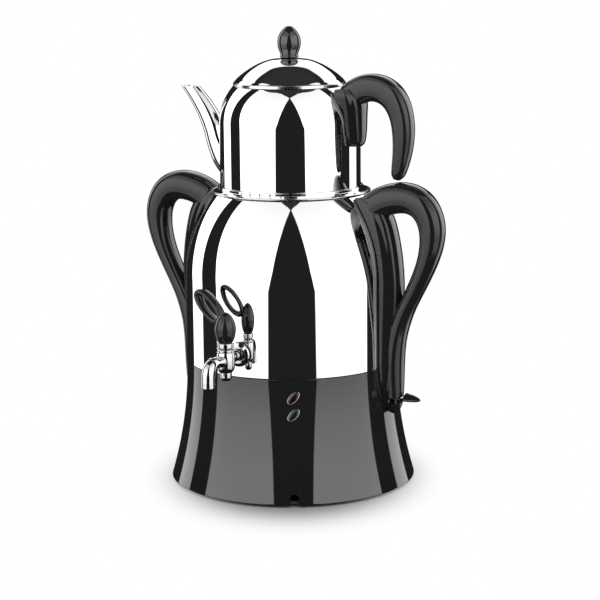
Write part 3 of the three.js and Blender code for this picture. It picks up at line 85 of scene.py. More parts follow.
class Wire:
    """A node socket that takes part in Python arithmetic."""

    def __init__(self, graph: "Graph", socket: bpy.types.NodeSocket) -> None:
        """Keeps the graph and the output socket."""
        self.graph = graph
        self.socket = socket

    def _math(self, operation: str, *values: "Wire | float") -> "Wire":
        """Adds one Math node.

        Args:
            operation: The node's operation.
            values: Its inputs, in order.

        Returns:
            The node's output.
        """
        return self.graph.node("ShaderNodeMath", {"operation": operation}, dict(enumerate(values)))

    def __add__(self, other: "Wire | float") -> "Wire":
        """Returns the sum."""
        return self._math("ADD", self, other)

    def __radd__(self, other: float) -> "Wire":
        """Returns the sum with a number on the left."""
        return self._math("ADD", other, self)

    def __sub__(self, other: "Wire | float") -> "Wire":
        """Returns the difference."""
        return self._math("SUBTRACT", self, other)

    def __rsub__(self, other: float) -> "Wire":
        """Returns a number less this value."""
        return self._math("SUBTRACT", other, self)

    def __mul__(self, other: "Wire | float") -> "Wire":
        """Returns the product."""
        return self._math("MULTIPLY", self, other)

    def __rmul__(self, other: float) -> "Wire":
        """Returns the product with a number on the left."""
        return self._math("MULTIPLY", other, self)

    def __truediv__(self, other: "Wire | float") -> "Wire":
        """Returns the quotient."""
        return self._math("DIVIDE", self, other)

    def __pow__(self, other: float) -> "Wire":
        """Returns the power."""
        return self._math("POWER", self, other)

    def most(self, other: "Wire | float") -> "Wire":
        """Returns the larger of two values."""
        return self._math("MAXIMUM", self, other)

    def least(self, other: "Wire | float") -> "Wire":
        """Returns the smaller of two values."""
        return self._math("MINIMUM", self, other)

    def step(self, low: float, high: float) -> "Wire":
        """Returns a smooth step that goes from 0 at low to 1 at high."""
        values = {"Value": self, "From Min": low, "From Max": high}
        return self.graph.node("ShaderNodeMapRange", {"interpolation_type": "SMOOTHSTEP"}, values)

    def arc(self, operation: str) -> "Wire":
        """Returns the arc sine or arc cosine, in degrees."""
        return self._math(operation, self) * math.degrees(1)


class Graph:
    """The node tree of one material or world."""

    def __init__(self, owner: bpy.types.Material | bpy.types.World) -> None:
        """Empties the owner's node tree and takes it over.

        Args:
            owner: The material or world that has the tree.
        """
        owner.use_nodes = True
        self.tree = owner.node_tree
        self.tree.nodes.clear()

    def node(
        self,
        kind: str,
        settings: dict[str, object] | None = None,
        values: Sockets | None = None,
        output: str | int = 0,
    ) -> Wire:
        """Adds a node.

        Args:
            kind: The node's type.
            settings: Properties that are set before the sockets; "stops" fills a colour ramp.
            values: Values or wires, by socket name or number.
            output: The output that is wanted.

        Returns:
            That output.
        """
        made = self.tree.nodes.new(kind)
        for key, value in (settings or {}).items():
            if key == "stops":
                ramp = made.color_ramp
                for at, colour in value:
                    ramp.elements.new(at).color = (*colour, 1)
                ramp.elements.remove(ramp.elements[0])
                ramp.elements.remove(ramp.elements[-1])
            else:
                setattr(made, key, value)
        for key, value in (values or {}).items():
            if isinstance(value, Wire):
                self.tree.links.new(value.socket, made.inputs[key])
            else:
                made.inputs[key].default_value = value
        return Wire(self, made.outputs[output])

    def blend(self, share: Wire | float, first: object, second: object) -> Wire:
        """Mixes two colours.

        Args:
            share: How much of the second colour shows.
            first: A colour or a wire.
            second: A colour or a wire.

        Returns:
            The mixed colour.
        """
        return self.node("ShaderNodeMix", {"data_type": "RGBA"}, {0: share, 6: first, 7: second}, 2)

    def place(self, stretch: Row = (1, 1, 1)) -> Wire:
        """Returns Object coordinates, stretched."""
        values = {"Vector": self.node("ShaderNodeTexCoord", output="Object"), "Scale": stretch}
        return self.node("ShaderNodeMapping", {"vector_type": "POINT"}, values)

    def ray(self, kind: str) -> Wire:
        """Returns 1 for the light rays of one kind and 0 for the others."""
        return self.node("ShaderNodeLightPath", output=kind)

    def noise(self, scale: float, detail: float = 2.0, stretch: Row = (1, 1, 1)) -> Wire:
        """Returns a noise value on Object coordinates."""
        values = {"Vector": self.place(stretch), "Scale": scale, "Detail": detail}
        return self.node("ShaderNodeTexNoise", None, values)

    def bump(self, height: Wire, strength: float, distance: float) -> Wire:
        """Returns a bumped normal."""
        values = {"Height": height, "Strength": strength, "Distance": distance}
        return self.node("ShaderNodeBump", None, values)

    def close(self, shader: Wire, kind: str = "ShaderNodeOutputMaterial") -> None:
        """Connects the last shader to the output node."""
        made = self.tree.nodes.new(kind)
        self.tree.links.new(shader.socket, made.inputs["Surface"])


def grey(level: float) -> Colour:
    """Returns a neutral colour."""
    return (level, level, level, 1.0)


def colour(red: float, green: float, blue: float) -> Colour:
    """Returns an opaque colour."""
    return (red, green, blue, 1.0)


# Finishes


@dataclass(frozen=True)
class Coating:
    """What every finish has: a name and two tones that drift into each other."""

    name: str
    tone: Row
    shade: Row

    def drift(self, graph: Graph, share: Wire) -> Wire:
        """Returns the tone with a share of the shade."""
        return graph.blend(share, colour(*self.tone), colour(*self.shade))

    def sockets(self, graph: Graph) -> Sockets:
        """Returns the shader's values and wires by socket name, which each finish gives in its own way."""
        raise NotImplementedError

    def make(self) -> Material:
        """Builds the material.

        Returns:
            The material, with one principled shader.
        """
        material = bpy.data.materials.new(self.name)
        graph = Graph(material)
        graph.close(graph.node("ShaderNodeBsdfPrincipled", None, self.sockets(graph)))
        return material


@dataclass(frozen=True)
class MirrorMetal(Coating):
    """Polished metal with faint wiping marks, and a satin band where it has one."""

    tone: Row = (0.86, 0.865, 0.87)
    shade: Row = (0.8, 0.805, 0.815)
    # The roughness of the bare metal, and what a wiping mark adds to it
    polish: float = 0.012
    haze: float = 0.03
    # Where the clouds turn into wiping marks
    marks_edge: Row = (0.42, 0.75)
    # The depth of the slow waves, in metres
    ripple: float = 0.00002
    # The heights between which the metal is satin, in metres; a band below the floor stands for none
    rim: Row = (-1.0, -0.9)
    rim_fade: float = 0.0002
    blur: float = 0.16
    satin: float = 0.55

    def sockets(self, graph: Graph) -> Sockets:
        """Mixes the bare metal, its wiping marks and its satin band.

        Args:
            graph: The material's nodes.

        Returns:
            The shader's values and wires by socket name.
        """
        cloud = graph.noise(scale=9.0, detail=3.0)
        wipe = graph.noise(scale=60.0, detail=4.0, stretch=(1, 1, 0.25))
        marks = cloud.step(*self.marks_edge) * wipe
        height = graph.node("ShaderNodeSeparateXYZ", None, {0: graph.place()}, "Z")
        low, high = self.rim
        band = height.step(low - self.rim_fade, low) * (1 - height.step(high, high + self.rim_fade))
        wave = graph.noise(scale=14.0, detail=1.0)
        return {
            "Base Color": graph.blend(band, self.drift(graph, marks), grey(self.satin)),
            "Metallic": 1.0,
            "Roughness": marks * self.haze + self.polish + band * self.blur,
            "Normal": graph.bump(wave, strength=0.35, distance=self.ripple),
        }


@dataclass(frozen=True)
class BrightMetal(MirrorMetal):
    """Small polished fittings, smoother than sheet metal."""

    polish: float = 0.015
    haze: float = 0.02
    ripple: float = 0.000005


@dataclass(frozen=True)
class DullMetal(Coating):
    """Rolled, plated or cast metal with a fine grain."""

    roughness: float = 0.42
    grain: float = 900.0
    stretch: Row = (1, 1, 0.1)
    # What the clouds and the grain add to the roughness
    cloudy: float = 0.16
    grainy: float = 0.08

    def sockets(self, graph: Graph) -> Sockets:
        """Mixes two tones of metal under a fine grain.

        Args:
            graph: The material's nodes.

        Returns:
            The shader's values and wires by socket name.
        """
        grain = graph.noise(self.grain, 3.0, self.stretch)
        cloud = graph.noise(scale=35.0, detail=3.0)
        bare = self.roughness - (self.cloudy + self.grainy) / 2
        return {
            "Base Color": self.drift(graph, cloud),
            "Metallic": 1.0,
            "Roughness": cloud * self.cloudy + grain * self.grainy + bare,
            "Normal": graph.bump(grain, strength=0.3, distance=0.0001),
        }


@dataclass(frozen=True)
class Moulding(Coating):
    """Moulded plastic, rubber or ceramic, from a fine matt grain to a gloss."""

    roughness: float
    spread: float
    # The fineness and the depth of the grain
    grain: float = 700.0
    depth: float = 0.0002
    # The strength and the tint of the shine
    glint: float = 0.5
    tint: Row = (1.0, 0.95, 0.955)

    def sockets(self, graph: Graph) -> Sockets:
        """Mixes two tones of plastic under a grain and a warm shine.

        Args:
            graph: The material's nodes.

        Returns:
            The shader's values and wires by socket name.
        """
        cloud = graph.noise(scale=22.0, detail=3.0)
        grain = graph.noise(self.grain, 2.0)
        return {
            "Base Color": self.drift(graph, cloud),
            "Roughness": cloud * self.spread + self.roughness,
            "Normal": graph.bump(grain, strength=0.25, distance=self.depth),
            "IOR": 1.5,
            "Specular IOR Level": self.glint,
            "Specular Tint": colour(*self.tint),
        }


@dataclass(frozen=True)
class GlossMoulding(Moulding):
    """Deep black plastic with a polished skin."""

    tone: Row = (0.0115, 0.0115, 0.012)
    shade: Row = (0.014, 0.014, 0.0145)
    roughness: float = 0.02
    spread: float = 0.02
    grain: float = 300.0
    depth: float = 0.000002


@dataclass(frozen=True)
class LampLens(Coating):
    """A clear coloured lens over a dark lamp that isn't lit."""

    # Where the deep tone turns into the clear one
    clear_edge: Row = (0.3, 0.7)
    # The roughness between the ribs, and what a rib adds to it
    polish: float = 0.08
    ribbed: float = 0.1

    def sockets(self, graph: Graph) -> Sockets:
        """Mixes a deep and a clear tone under fine ribs and a clear coat.

        Args:
            graph: The material's nodes.

        Returns:
            The shader's values and wires by socket name.
        """
        ribs = graph.noise(scale=420.0, detail=1.0, stretch=(1, 1, 3))
        cloud = graph.noise(scale=90.0, detail=2.0)
        return {
            "Base Color": self.drift(graph, cloud.step(*self.clear_edge)),
            "Roughness": ribs * self.ribbed + self.polish,
            "Normal": graph.bump(ribs, strength=0.3, distance=0.0002),
            "Coat Weight": 1.0,
            "Coat Roughness": 0.02,
        }


class Finish(Enum):
    """The finishes of the samovar."""

    STEEL = MirrorMetal("polished_steel")
    LID = MirrorMetal("polished_lid", rim=(0.3515, 0.3585))
    RING = MirrorMetal("polished_ring", rim=(0.2555, 0.2632))
    CHROME = BrightMetal("bright_chrome", (0.5, 0.502, 0.505), (0.46, 0.462, 0.465))
    DRAWN = BrightMetal("drawn_steel", (0.7, 0.702, 0.705), (0.66, 0.662, 0.665))
    BLACK = GlossMoulding("piano_black", glint=0.75)
    GRIP = GlossMoulding("glossy_black", roughness=0.015, glint=0.42)
    MATT = Moulding("matt_black", (0.02, 0.02, 0.021), (0.028, 0.028, 0.03), 0.42, 0.14, grain=900.0)
    RUBBER = Moulding(
        "foot_rubber", (0.018, 0.018, 0.018), (0.03, 0.029, 0.028), 0.68, 0.16, grain=500.0, depth=0.0003
    )
    CERAMIC = Moulding("steatite", (0.78, 0.74, 0.64), (0.7, 0.66, 0.57), 0.46, 0.14, grain=800.0)
    ZINC = DullMetal("zinc_plate", (0.6, 0.61, 0.62), (0.5, 0.51, 0.53))
    ALUMINIUM = DullMetal("cast_aluminium", (0.72, 0.73, 0.74), (0.62, 0.63, 0.65), 0.45, 600.0, (1, 1, 1))
    BRASS = DullMetal("turned_brass", (0.78, 0.6, 0.27), (0.68, 0.5, 0.21), 0.32)
    RED = LampLens("red_lens", tone=(0.008, 0.002, 0.002), shade=(0.03, 0.003, 0.004))
    GREEN = LampLens("green_lens", tone=(0.002, 0.01, 0.01), shade=(0.004, 0.026, 0.024))

    def material(self) -> Material:
        """Returns the finish's material, built the first time it is asked for."""
        return bpy.data.materials.get(self.value.name) or self.value.make()


# The bench


def rest() -> None:
    """Leaves edit mode and deselects every object."""
    if bpy.context.mode != "OBJECT":
        bpy.ops.object.mode_set(mode="OBJECT")
    bpy.ops.object.select_all(action="DESELECT")


def take_up(item: Item) -> None:
    """Makes an object the only selected and active one.

    Args:
        item: The object.
    """
    rest()
    item.select_set(True)
    bpy.context.view_layer.objects.active = item


def start_ring(name: str, facets: int, radius: float) -> Item:
    """Adds an open circle and enters edit mode with all of it selected.

    Args:
        name: The piece's name.
        facets: How many corners it has.
        radius: Its radius in metres.

    Returns:
        The new object.
    """
    rest()
    bpy.ops.mesh.primitive_circle_add(vertices=facets, radius=radius, fill_type="NOTHING")
    item = bpy.context.object
    item.name = item.data.name = name
    bpy.ops.object.mode_set(mode="EDIT")
    bpy.ops.mesh.select_all(action="SELECT")
    return item


def tidy(item: Item, angle: float = 35.0) -> Item:
    """Merges doubles, turns the faces outwards and smooths the shading.

    Args:
        item: The piece.
        angle: Edges sharper than this stay crisp, in degrees.

    Returns:
        The same piece.
    """
    take_up(item)
    bpy.ops.object.mode_set(mode="EDIT")
    bpy.ops.mesh.select_all(action="SELECT")
    bpy.ops.mesh.remove_doubles(threshold=MERGE)
    bpy.ops.mesh.normals_make_consistent(inside=False)
    bpy.ops.object.mode_set(mode="OBJECT")
    bpy.ops.object.shade_smooth_by_angle(angle=math.radians(angle))
    return item


def smooth_line(rows: Sequence[Row], steps: int) -> Profile:
    """Draws a smooth curve through rows of numbers.

    Args:
        rows: Rows of two to four numbers, of which the first two set the pace.
        steps: How many parts the whole curve has.

    Returns:
        Rows along the curve.
    """
    points = [Vector(row) for row in rows]
    first = points[0] + (points[0] - points[1])
    last = points[-1] + (points[-1] - points[-2])
    points = [first, *points, last]
    pace = [0.0]
    for a, b in pairwise(points):
        pace.append(pace[-1] + math.sqrt(max((b.xy - a.xy).length, SHORTEST)))
    line = []
    span = pace[-2] - pace[1]
    segment = 1
    for step in range(steps + 1):
        at = pace[1] + span * step / steps
        while segment < len(points) - 3 and at > pace[segment + 1]:
            segment += 1
        t0, t1, t2, t3 = pace[segment - 1 : segment + 3]
        p0, p1, p2, p3 = points[segment - 1 : segment + 3]
        a1 = p0.lerp(p1, (at - t0) / (t1 - t0))
        a2 = p1.lerp(p2, (at - t1) / (t2 - t1))
        a3 = p2.lerp(p3, (at - t2) / (t3 - t2))
        b1 = a1.lerp(a2, (at - t0) / (t2 - t0))
        b2 = a2.lerp(a3, (at - t1) / (t3 - t1))
        line.append(tuple(b1.lerp(b2, (at - t1) / (t2 - t1))))
    return line


def softened(rows: Sequence[Row], radius: float, closed: bool = False) -> Profile:
    """Rounds the sharp corners of a profile.

    Args:
        rows: Radius and height, in millimetres.
        radius: The largest corner radius.
        closed: Whether the last row joins the first.

    Returns:
        The profile with an arc at each corner.
    """
    corners = [Vector(row) for row in rows]
    done: Profile = []
    for index, corner in enumerate(corners):
        if not closed and index in (0, len(corners) - 1):
            done.append(tuple(corner))
            continue
        back = corners[index - 1] - corner
        ahead = corners[(index + 1) % len(corners)] - corner
        turn = math.pi - back.angle(ahead)
        if turn < FLAT_TURN:
            done.append(tuple(corner))
            continue
        reach = min(radius * math.tan(turn / 2), ARC_SHARE * back.length, ARC_SHARE * ahead.length)
        start = corner + back.normalized() * reach
        end = corner + ahead.normalized() * reach
        done.append(tuple(start + back.normalized() * RUN_ON * reach))
        for share in (0, 0.25, 0.5, 0.75, 1):
            done.append(tuple(start.lerp(corner, share).lerp(corner.lerp(end, share), share)))
        done.append(tuple(end + ahead.normalized() * RUN_ON * reach))
    return [*done, done[0]] if closed else done


def turned(name: str, profile: Sequence[Row], facets: int = 64, angle: float = 35.0) -> Item:
    """Turns a profile about the Z axis, ring by ring.

    A radius of zero closes the piece at a pole, and a profile that ends where it starts makes a closed tube.

    Args:
        name: The piece's name.
        profile: Radius and height, in millimetres.
        facets: How many faces go round.
        angle: Edges sharper than this stay crisp, in degrees.

    Returns:
        The finished piece.
    """
    rows = [(max(radius, TINY) * MM, height * MM) for radius, height in profile]
    item = start_ring(name, facets, rows[0][0])
    bpy.ops.transform.translate(value=(0, 0, rows[0][1]))
    for (old, low), (new, high) in pairwise(rows):
        bpy.ops.mesh.extrude_region_move(TRANSFORM_OT_translate={"value": (0, 0, high - low)})
        bpy.ops.transform.resize(value=(new / old, new / old, 1), center_override=(0, 0, high))
    return tidy(item, angle)


def lofted(name: str, rings: Sequence[Ring], angle: float = 50.0, capped: bool = True) -> Item:
    """Draws a skin through rings of points, extruding one ring into the next.

    Args:
        name: The piece's name.
        rings: Rings with the same number of points, in millimetres.
        angle: Edges sharper than this stay crisp, in degrees.
        capped: Whether both ends are closed with a face.

    Returns:
        The finished piece.
    """
    item = start_ring(name, len(rings[0]), MM)
    size = len(rings[0])
    for count, ring in enumerate(rings):
        if count:
            bpy.ops.mesh.extrude_region_move()
        mesh = bmesh.from_edit_mesh(item.data)
        mesh.verts.ensure_lookup_table()
        fresh = [mesh.verts[count * size + place] for place in range(size)]
        for vertex, point in zip(fresh, ring):
            vertex.co = point * MM
        bmesh.update_edit_mesh(item.data)
    if capped:
        for start in (0, (len(rings) - 1) * size):
            mesh = bmesh.from_edit_mesh(item.data)
            mesh.verts.ensure_lookup_table()
            bpy.ops.mesh.select_all(action="DESELECT")
            for place in range(size):
                mesh.verts[start + place].select_set(True)
            mesh.select_flush(True)
            bpy.ops.mesh.edge_face_add()
    return tidy(item, angle)


def put(item: Item, move: Row = (0, 0, 0), spin: Matrix | None = None) -> Item:
    """Moves and turns a piece, and leaves its object at the origin.

    Args:
        item: The piece.
        move: The shift, in millimetres.
        spin: A rotation made before the shift.

    Returns:
        The same piece.
    """
    take_up(item)
    item.matrix_world = Matrix.Translation(Vector(move) * MM) @ (spin or Matrix.Identity(3)).to_4x4()
    bpy.ops.object.transform_apply(location=True, rotation=True, scale=True)
    return item


def about(axis: str, degrees: float) -> Matrix:
    """Returns a rotation about a main axis."""
    return Matrix.Rotation(math.radians(degrees), 3, axis)


def put_out(item: Item, radius: float, azimuth: float) -> Item:
    """Moves a piece out along X, then turns it to an azimuth."""
    return put(put(item, (radius, 0, 0)), spin=about("Z", azimuth))


def twin(item: Item, name: str) -> Item:
    """Copies a piece with its own mesh.

    Args:
        item: The piece.
        name: The copy's name.

    Returns:
        The copy.
    """
    rest()
    copy = item.copy()
    copy.data = item.data.copy()
    copy.name = copy.data.name = name
    bpy.context.collection.objects.link(copy)
    return copy


def mirrored(item: Item, name: str) -> Item:
    """Copies a piece to the other side of the YZ plane.

    Args:
        item: The piece.
        name: The copy's name.

    Returns:
        The mirrored copy.
    """
    copy = twin(item, name)
    take_up(copy)
    copy.scale = (-1, 1, 1)
    bpy.ops.object.transform_apply(location=True, rotation=True, scale=True)
    return tidy(copy, angle=50)


class Fit(Enum):
    """How one solid works on another."""

    UNION = "UNION"
    CUT = "DIFFERENCE"


def worked(item: Item, tool: Item, fit: Fit = Fit.CUT) -> Item:
    """Joins or cuts a piece with a tool that is then thrown away.

    Args:
        item: The piece.
        tool: The other solid.
        fit: Whether the tool is joined on or cut out.

    Returns:
        The same piece.
    """
    take_up(item)
    modifier = item.modifiers.new("fit", "BOOLEAN")
    modifier.operation = fit.value
    modifier.solver = "EXACT"
    modifier.object = tool
    bpy.ops.object.modifier_apply(modifier=modifier.name)
    bpy.data.objects.remove(tool, do_unlink=True)
    return item


def joined(name: str, *items: Item) -> Item:
    """Joins pieces into one object.

    Args:
        name: The object's name.
        items: The pieces, of which the first takes up the others.

    Returns:
        The joined object.
    """
    rest()
    for item in items:
        item.select_set(True)
    bpy.context.view_layer.objects.active = items[0]
    bpy.ops.object.join()
    items[0].name = items[0].data.name = name
    return items[0]


def rod(name: str, radius: float, low: float, high: float, facets: int = 32) -> Item:
    """Turns a plain closed rod for use as a tool."""
    return turned(name, [(0, low), (radius, low), (radius, high), (0, high)], facets)


def block(name: str, low: Row, high: Row) -> Item:
    """Adds a closed block for use as a tool.

    Args:
        name: The tool's name.
        low: Its lowest corner, in millimetres.
        high: Its highest corner.

    Returns:
        The block.
    """
    rest()
    middle = [(a + b) / 2 * MM for a, b in zip(low, high)]
    size = [(b - a) * MM for a, b in zip(low, high)]
    bpy.ops.mesh.primitive_cube_add(size=1, location=middle, scale=size)
    item = bpy.context.object
    item.name = name
    bpy.ops.object.transform_apply(location=True, rotation=True, scale=True)
    return item


def dressed(item: Item, finish: Finish, body: str, slot: str, *nodes: str) -> Item:
    """Gives a piece its finish, its body and the CAD nodes that it stands for.

    Args:
        item: The piece.
        finish: Its finish.
        body: The body that it rides on.
        slot: A material slot's name; not used.
        nodes: The CAD nodes that it replaces.

    Returns:
        The same piece.
    """
    rest()
    item.data.materials.clear()
    item.data.materials.append(finish.material())
    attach(item, body)
    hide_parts(*nodes)
    LOG.info("%s on %s: %d faces", item.name, body, len(item.data.polygons))
    return item


def rounded(share: float, power: float) -> tuple[float, float]:
    """Places a corner of a rounded section.

    Args:
        share: How much of a full turn it has gone round.
        power: 2 for an ellipse, more for a squarer section.

    Returns:
        Its place, as shares of the two half widths.
    """
    c, s = math.cos(math.tau * share), math.sin(math.tau * share)
    return math.copysign(abs(c) ** (2 / power), c), math.copysign(abs(s) ** (2 / power), s)


def swept_rings(rows: Sequence[Row], steps: int, facets: int, power: float) -> list[Ring]:
    """Places sections along a line in the XZ plane.

    Args:
        rows: x, z, half thickness in the plane, half width across it.
        steps: How many parts the line has.
        facets: Points in each section.
        power: 2 for an ellipse, more for a squarer section.

    Returns:
        The rings.
    """
    line = smooth_line(rows, steps)
    rings = []
    for index, (x, z, thick, wide) in enumerate(line):
        before, after = line[max(index - 1, 0)], line[min(index + 1, len(line) - 1)]
        along = Vector((after[0] - before[0], after[1] - before[1])).normalized()
        ring = []
        for corner in range(facets):
            a, b = rounded(corner / facets, power)
            ring.append(Vector((x - along.y * a * thick, b * wide, z + along.x * a * thick)))
        rings.append(ring)
    return rings


# The base


@dataclass
class Base:
    """The black foot of the samovar with its plate, feet, lamps and power inlet."""

    # The flared shell
    top_radius: float = 95.2
    flare: float = 15.6
    bend_top: float = 107
    bend_height: float = 105
    bottom: float = 2
    top: float = 109.6
    top_edge: float = 0.2
    wall: float = 2.4
    lip: float = 84
    corner: float = 0.9
    facets: int = 192
    outer_rows: int = 40
    inner_rows: int = 8
    # The half-round notches in its rim, and how far inside the plate's edge their tool starts
    notch_azimuths: Row = (-61, 119)
    notch_half: float = 4
    notch_crown: float = 7.3
    notch_inset: float = 10
    notch_reach: float = 30
    notch_steps: int = 16
    # The ways cut for the thermostat's lever and for the power inlet
    window: Box = ((80, -5.6, 78.2), (101, 5.6, 83.4))
    inlet_way: Box = ((-14.3, 84, 27.2), (14.3, 125, 48.8))
    # The plate
    plate_radius: float = 107.2
    plate_low: float = 2.2
    plate_high: float = 4.7
    plate_corner: float = 0.6
    plate_facets: int = 128
    # The feet, each a pad with a stem
    foot_azimuths: Row = (45, 135, 225, 315)
    foot_ring: float = 90
    foot_radius: float = 7.2
    foot_edge: float = 0.7
    foot_high: float = 1.9
    foot_corner: float = 0.5
    foot_facets: int = 40
    stem_radius: float = 2.4
    stem_high: float = 6
    # The lamps
    lamp_azimuth: float = -61
    lamp_tilt: float = 47
    lamp_heights: Row = (93.5, 78.6)
    lamp_steps: int = 48
    # The bezels: half lengths outside and inside, how much less the half width is, and the way in and out
    bezel_half: float = 6.9
    bezel_hole: float = 6.1
    bezel_slimmer: float = 3.15
    bezel_root: float = 93
    bezel_stand: float = 0.8
    bezel_corner: float = 0.4
    # The lenses: half length and width, and half lengths by how far they stand out of the wall
    lens_half: float = 5.7
    lens_half_width: float = 2.6
    lens_root: float = 91.6
    lens_dome: Table = ((5.7, 0.3), (5.5, 0.5), (4.6, 0.75), (2.8, 0.86), (1, 0.9))
    # The power inlet
    inlet_box: Box = ((-14, 84, 27.5), (14, 105.6, 48.5))
    inlet_wall: float = 3
    inlet_depth: float = 17.6
    inlet_edge: float = 0.5

    def radius(self, z: float) -> float:
        """Returns the shell's outer radius at a height."""
        share = max(self.bend_top - z, 0) / self.bend_height
        return self.top_radius + self.flare * share * share

    def column(self, low: float, high: float, rows: int, offset: float) -> Profile:
        """Returns the flared wall between two heights."""
        heights = [low + (high - low) * row / rows for row in range(rows + 1)]
        return [(self.radius(z) + offset, z) for z in heights]

    def arch(self, azimuth: float) -> Item:
        """Builds the tool that cuts one notch into the rim.

        Args:
            azimuth: Where the notch is, in degrees.

        Returns:
            The tool.
        """
        half = self.notch_half
        ring = [Vector((0, -half, -self.bottom)), Vector((0, half, -self.bottom))]
        for step in range(self.notch_steps + 1):
            turn = math.pi * step / self.notch_steps
            ring.append(Vector((0, half * math.cos(turn), self.notch_crown + half * math.sin(turn))))
        far = [point + Vector((self.notch_reach, 0, 0)) for point in ring]
        return put_out(lofted("arch_tool", [ring, far]), self.plate_radius - self.notch_inset, azimuth)

    def shell(self) -> None:
        """Builds the flared shell with its notches and ways."""
        lip_under = self.top - self.wall
        rows = [
            (self.radius(self.bottom) - self.wall, self.bottom),
            *self.column(self.bottom, self.bend_top, self.outer_rows, 0),
            (self.top_radius, self.top - self.top_edge),
            (self.top_radius - self.top_edge, self.top),
            (self.lip, self.top),
            (self.lip, lip_under),
            *self.column(lip_under, self.bottom + self.wall, self.inner_rows, -self.wall),
        ]
        shell = turned("base_shell_smooth", softened(rows, self.corner, True), self.facets)
        for azimuth in self.notch_azimuths:
            worked(shell, self.arch(azimuth))
        worked(shell, block("window", *self.window))
        worked(shell, block("inlet_way", *self.inlet_way))
        dressed(tidy(shell), Finish.BLACK, "samovar_base", "plastic_gloss", "base_shell")

    def plate(self) -> None:
        """Builds the plate under the base."""
        rows = [
            (0, self.plate_low),
            (self.plate_radius, self.plate_low),
            (self.plate_radius, self.plate_high),
            (0, self.plate_high),
        ]
        plate = turned("base_plate_round", softened(rows, self.plate_corner), self.plate_facets)
        dressed(plate, Finish.MATT, "samovar_base", "plastic_matte", "base_plate")

    def feet(self) -> None:
        """Builds the rubber feet."""
        rows = [
            (0, 0),
            (self.foot_radius - self.foot_edge, 0),
            (self.foot_radius, self.foot_edge),
            (self.foot_radius, self.foot_high),
            (self.stem_radius, self.foot_high),
            (self.stem_radius, self.stem_high),
            (0, self.stem_high),
        ]
        for number, azimuth in enumerate(self.foot_azimuths, 1):
            foot = turned(f"foot_{number}", softened(rows, self.foot_corner), self.foot_facets)
            turn = math.radians(azimuth)
            put(foot, (self.foot_ring * math.cos(turn), self.foot_ring * math.sin(turn), 0))
            dressed(foot, Finish.RUBBER, "samovar_base", "rubber", f"base_foot_{number}")

    def oval(self, long: float, short: float, out: float, z: float) -> Ring:
        """Places one oval ring of a lamp, facing out of the wall.

        Args:
            long: Its half length.
            short: Its half width.
            out: Its distance from the samovar's axis.
            z: The lamp's height.

        Returns:
            The ring.
        """
        facing = about("Z", self.lamp_azimuth)
        spin = facing @ about("X", self.lamp_tilt)
        ring = []
        for step in range(self.lamp_steps):
            turn = math.tau * step / self.lamp_steps
            point = spin @ Vector((0, long * math.cos(turn), short * math.sin(turn)))
            ring.append(point + facing @ Vector((out, 0, 0)) + Vector((0, 0, z)))
        return ring

    def bezel(self, name: str, z: float) -> None:
        """Builds the bright rim of a lamp.

        Args:
            name: The lamp's colour.
            z: Its height.
        """
        front = self.radius(z) + self.bezel_stand
        rows = [
            (self.bezel_half, self.bezel_root),
            (self.bezel_half, front),
            (self.bezel_hole, front),
            (self.bezel_hole, self.bezel_root),
        ]
        rim = softened(rows, self.bezel_corner, True)
        rings = [self.oval(long, long - self.bezel_slimmer, out, z) for long, out in rim]
        bezel = lofted(f"bezel_{name}", rings, angle=40, capped=False)
        dressed(bezel, Finish.CHROME, "samovar_base", "chrome", f"indicator_bezel_{name}")

    def lens(self, name: str, finish: Finish, z: float) -> None:
        """Builds the domed lens of a lamp.

        Args:
            name: The lamp's colour.
            finish: The lens's finish.
            z: Its height.
        """
        wall = self.radius(z)
        dome = [(self.lens_half, self.lens_root), *[(long, wall + out) for long, out in self.lens_dome]]
        rings = [
            self.oval(long, long * self.lens_half_width / self.lens_half, out, z) for long, out in dome
        ]
        lens = lofted(f"lens_{name}", rings, angle=60)
        dressed(lens, finish, "samovar_base", f"lens_{name}", f"indicator_lens_{name}")

    def lamps(self) -> None:
        """Builds the red and the green lamp."""
        for name, finish, z in zip(("red", "green"), (Finish.RED, Finish.GREEN), self.lamp_heights):
            self.bezel(name, z)
            self.lens(name, finish, z)

    def inlet(self) -> None:
        """Builds the socket for the power lead: a box whose back is inset and pushed in."""
        housing = block("power_inlet", *self.inlet_box)
        take_up(housing)
        bpy.ops.object.mode_set(mode="EDIT")
        bpy.ops.mesh.select_all(action="DESELECT")
        mesh = bmesh.from_edit_mesh(housing.data)
        for face in mesh.faces:
            face.select_set(face.normal.y > FACING)
        bpy.ops.mesh.inset(thickness=self.inlet_wall * MM)
        bpy.ops.mesh.extrude_region_move(TRANSFORM_OT_translate={"value": (0, -self.inlet_depth * MM, 0)})
        bpy.ops.object.mode_set(mode="OBJECT")
        bevel = housing.modifiers.new("edges", "BEVEL")
        bevel.width = self.inlet_edge * MM
        bevel.segments = 3
        bpy.ops.object.modifier_apply(modifier=bevel.name)
        dressed(tidy(housing), Finish.MATT, "samovar_base", "plastic_matte", "inlet_housing")

    def build(self) -> None:
        """Builds and dresses the whole base."""
        self.shell()
        self.plate()
        self.feet()
        self.lamps()
        self.inlet()


# The tank and its handles


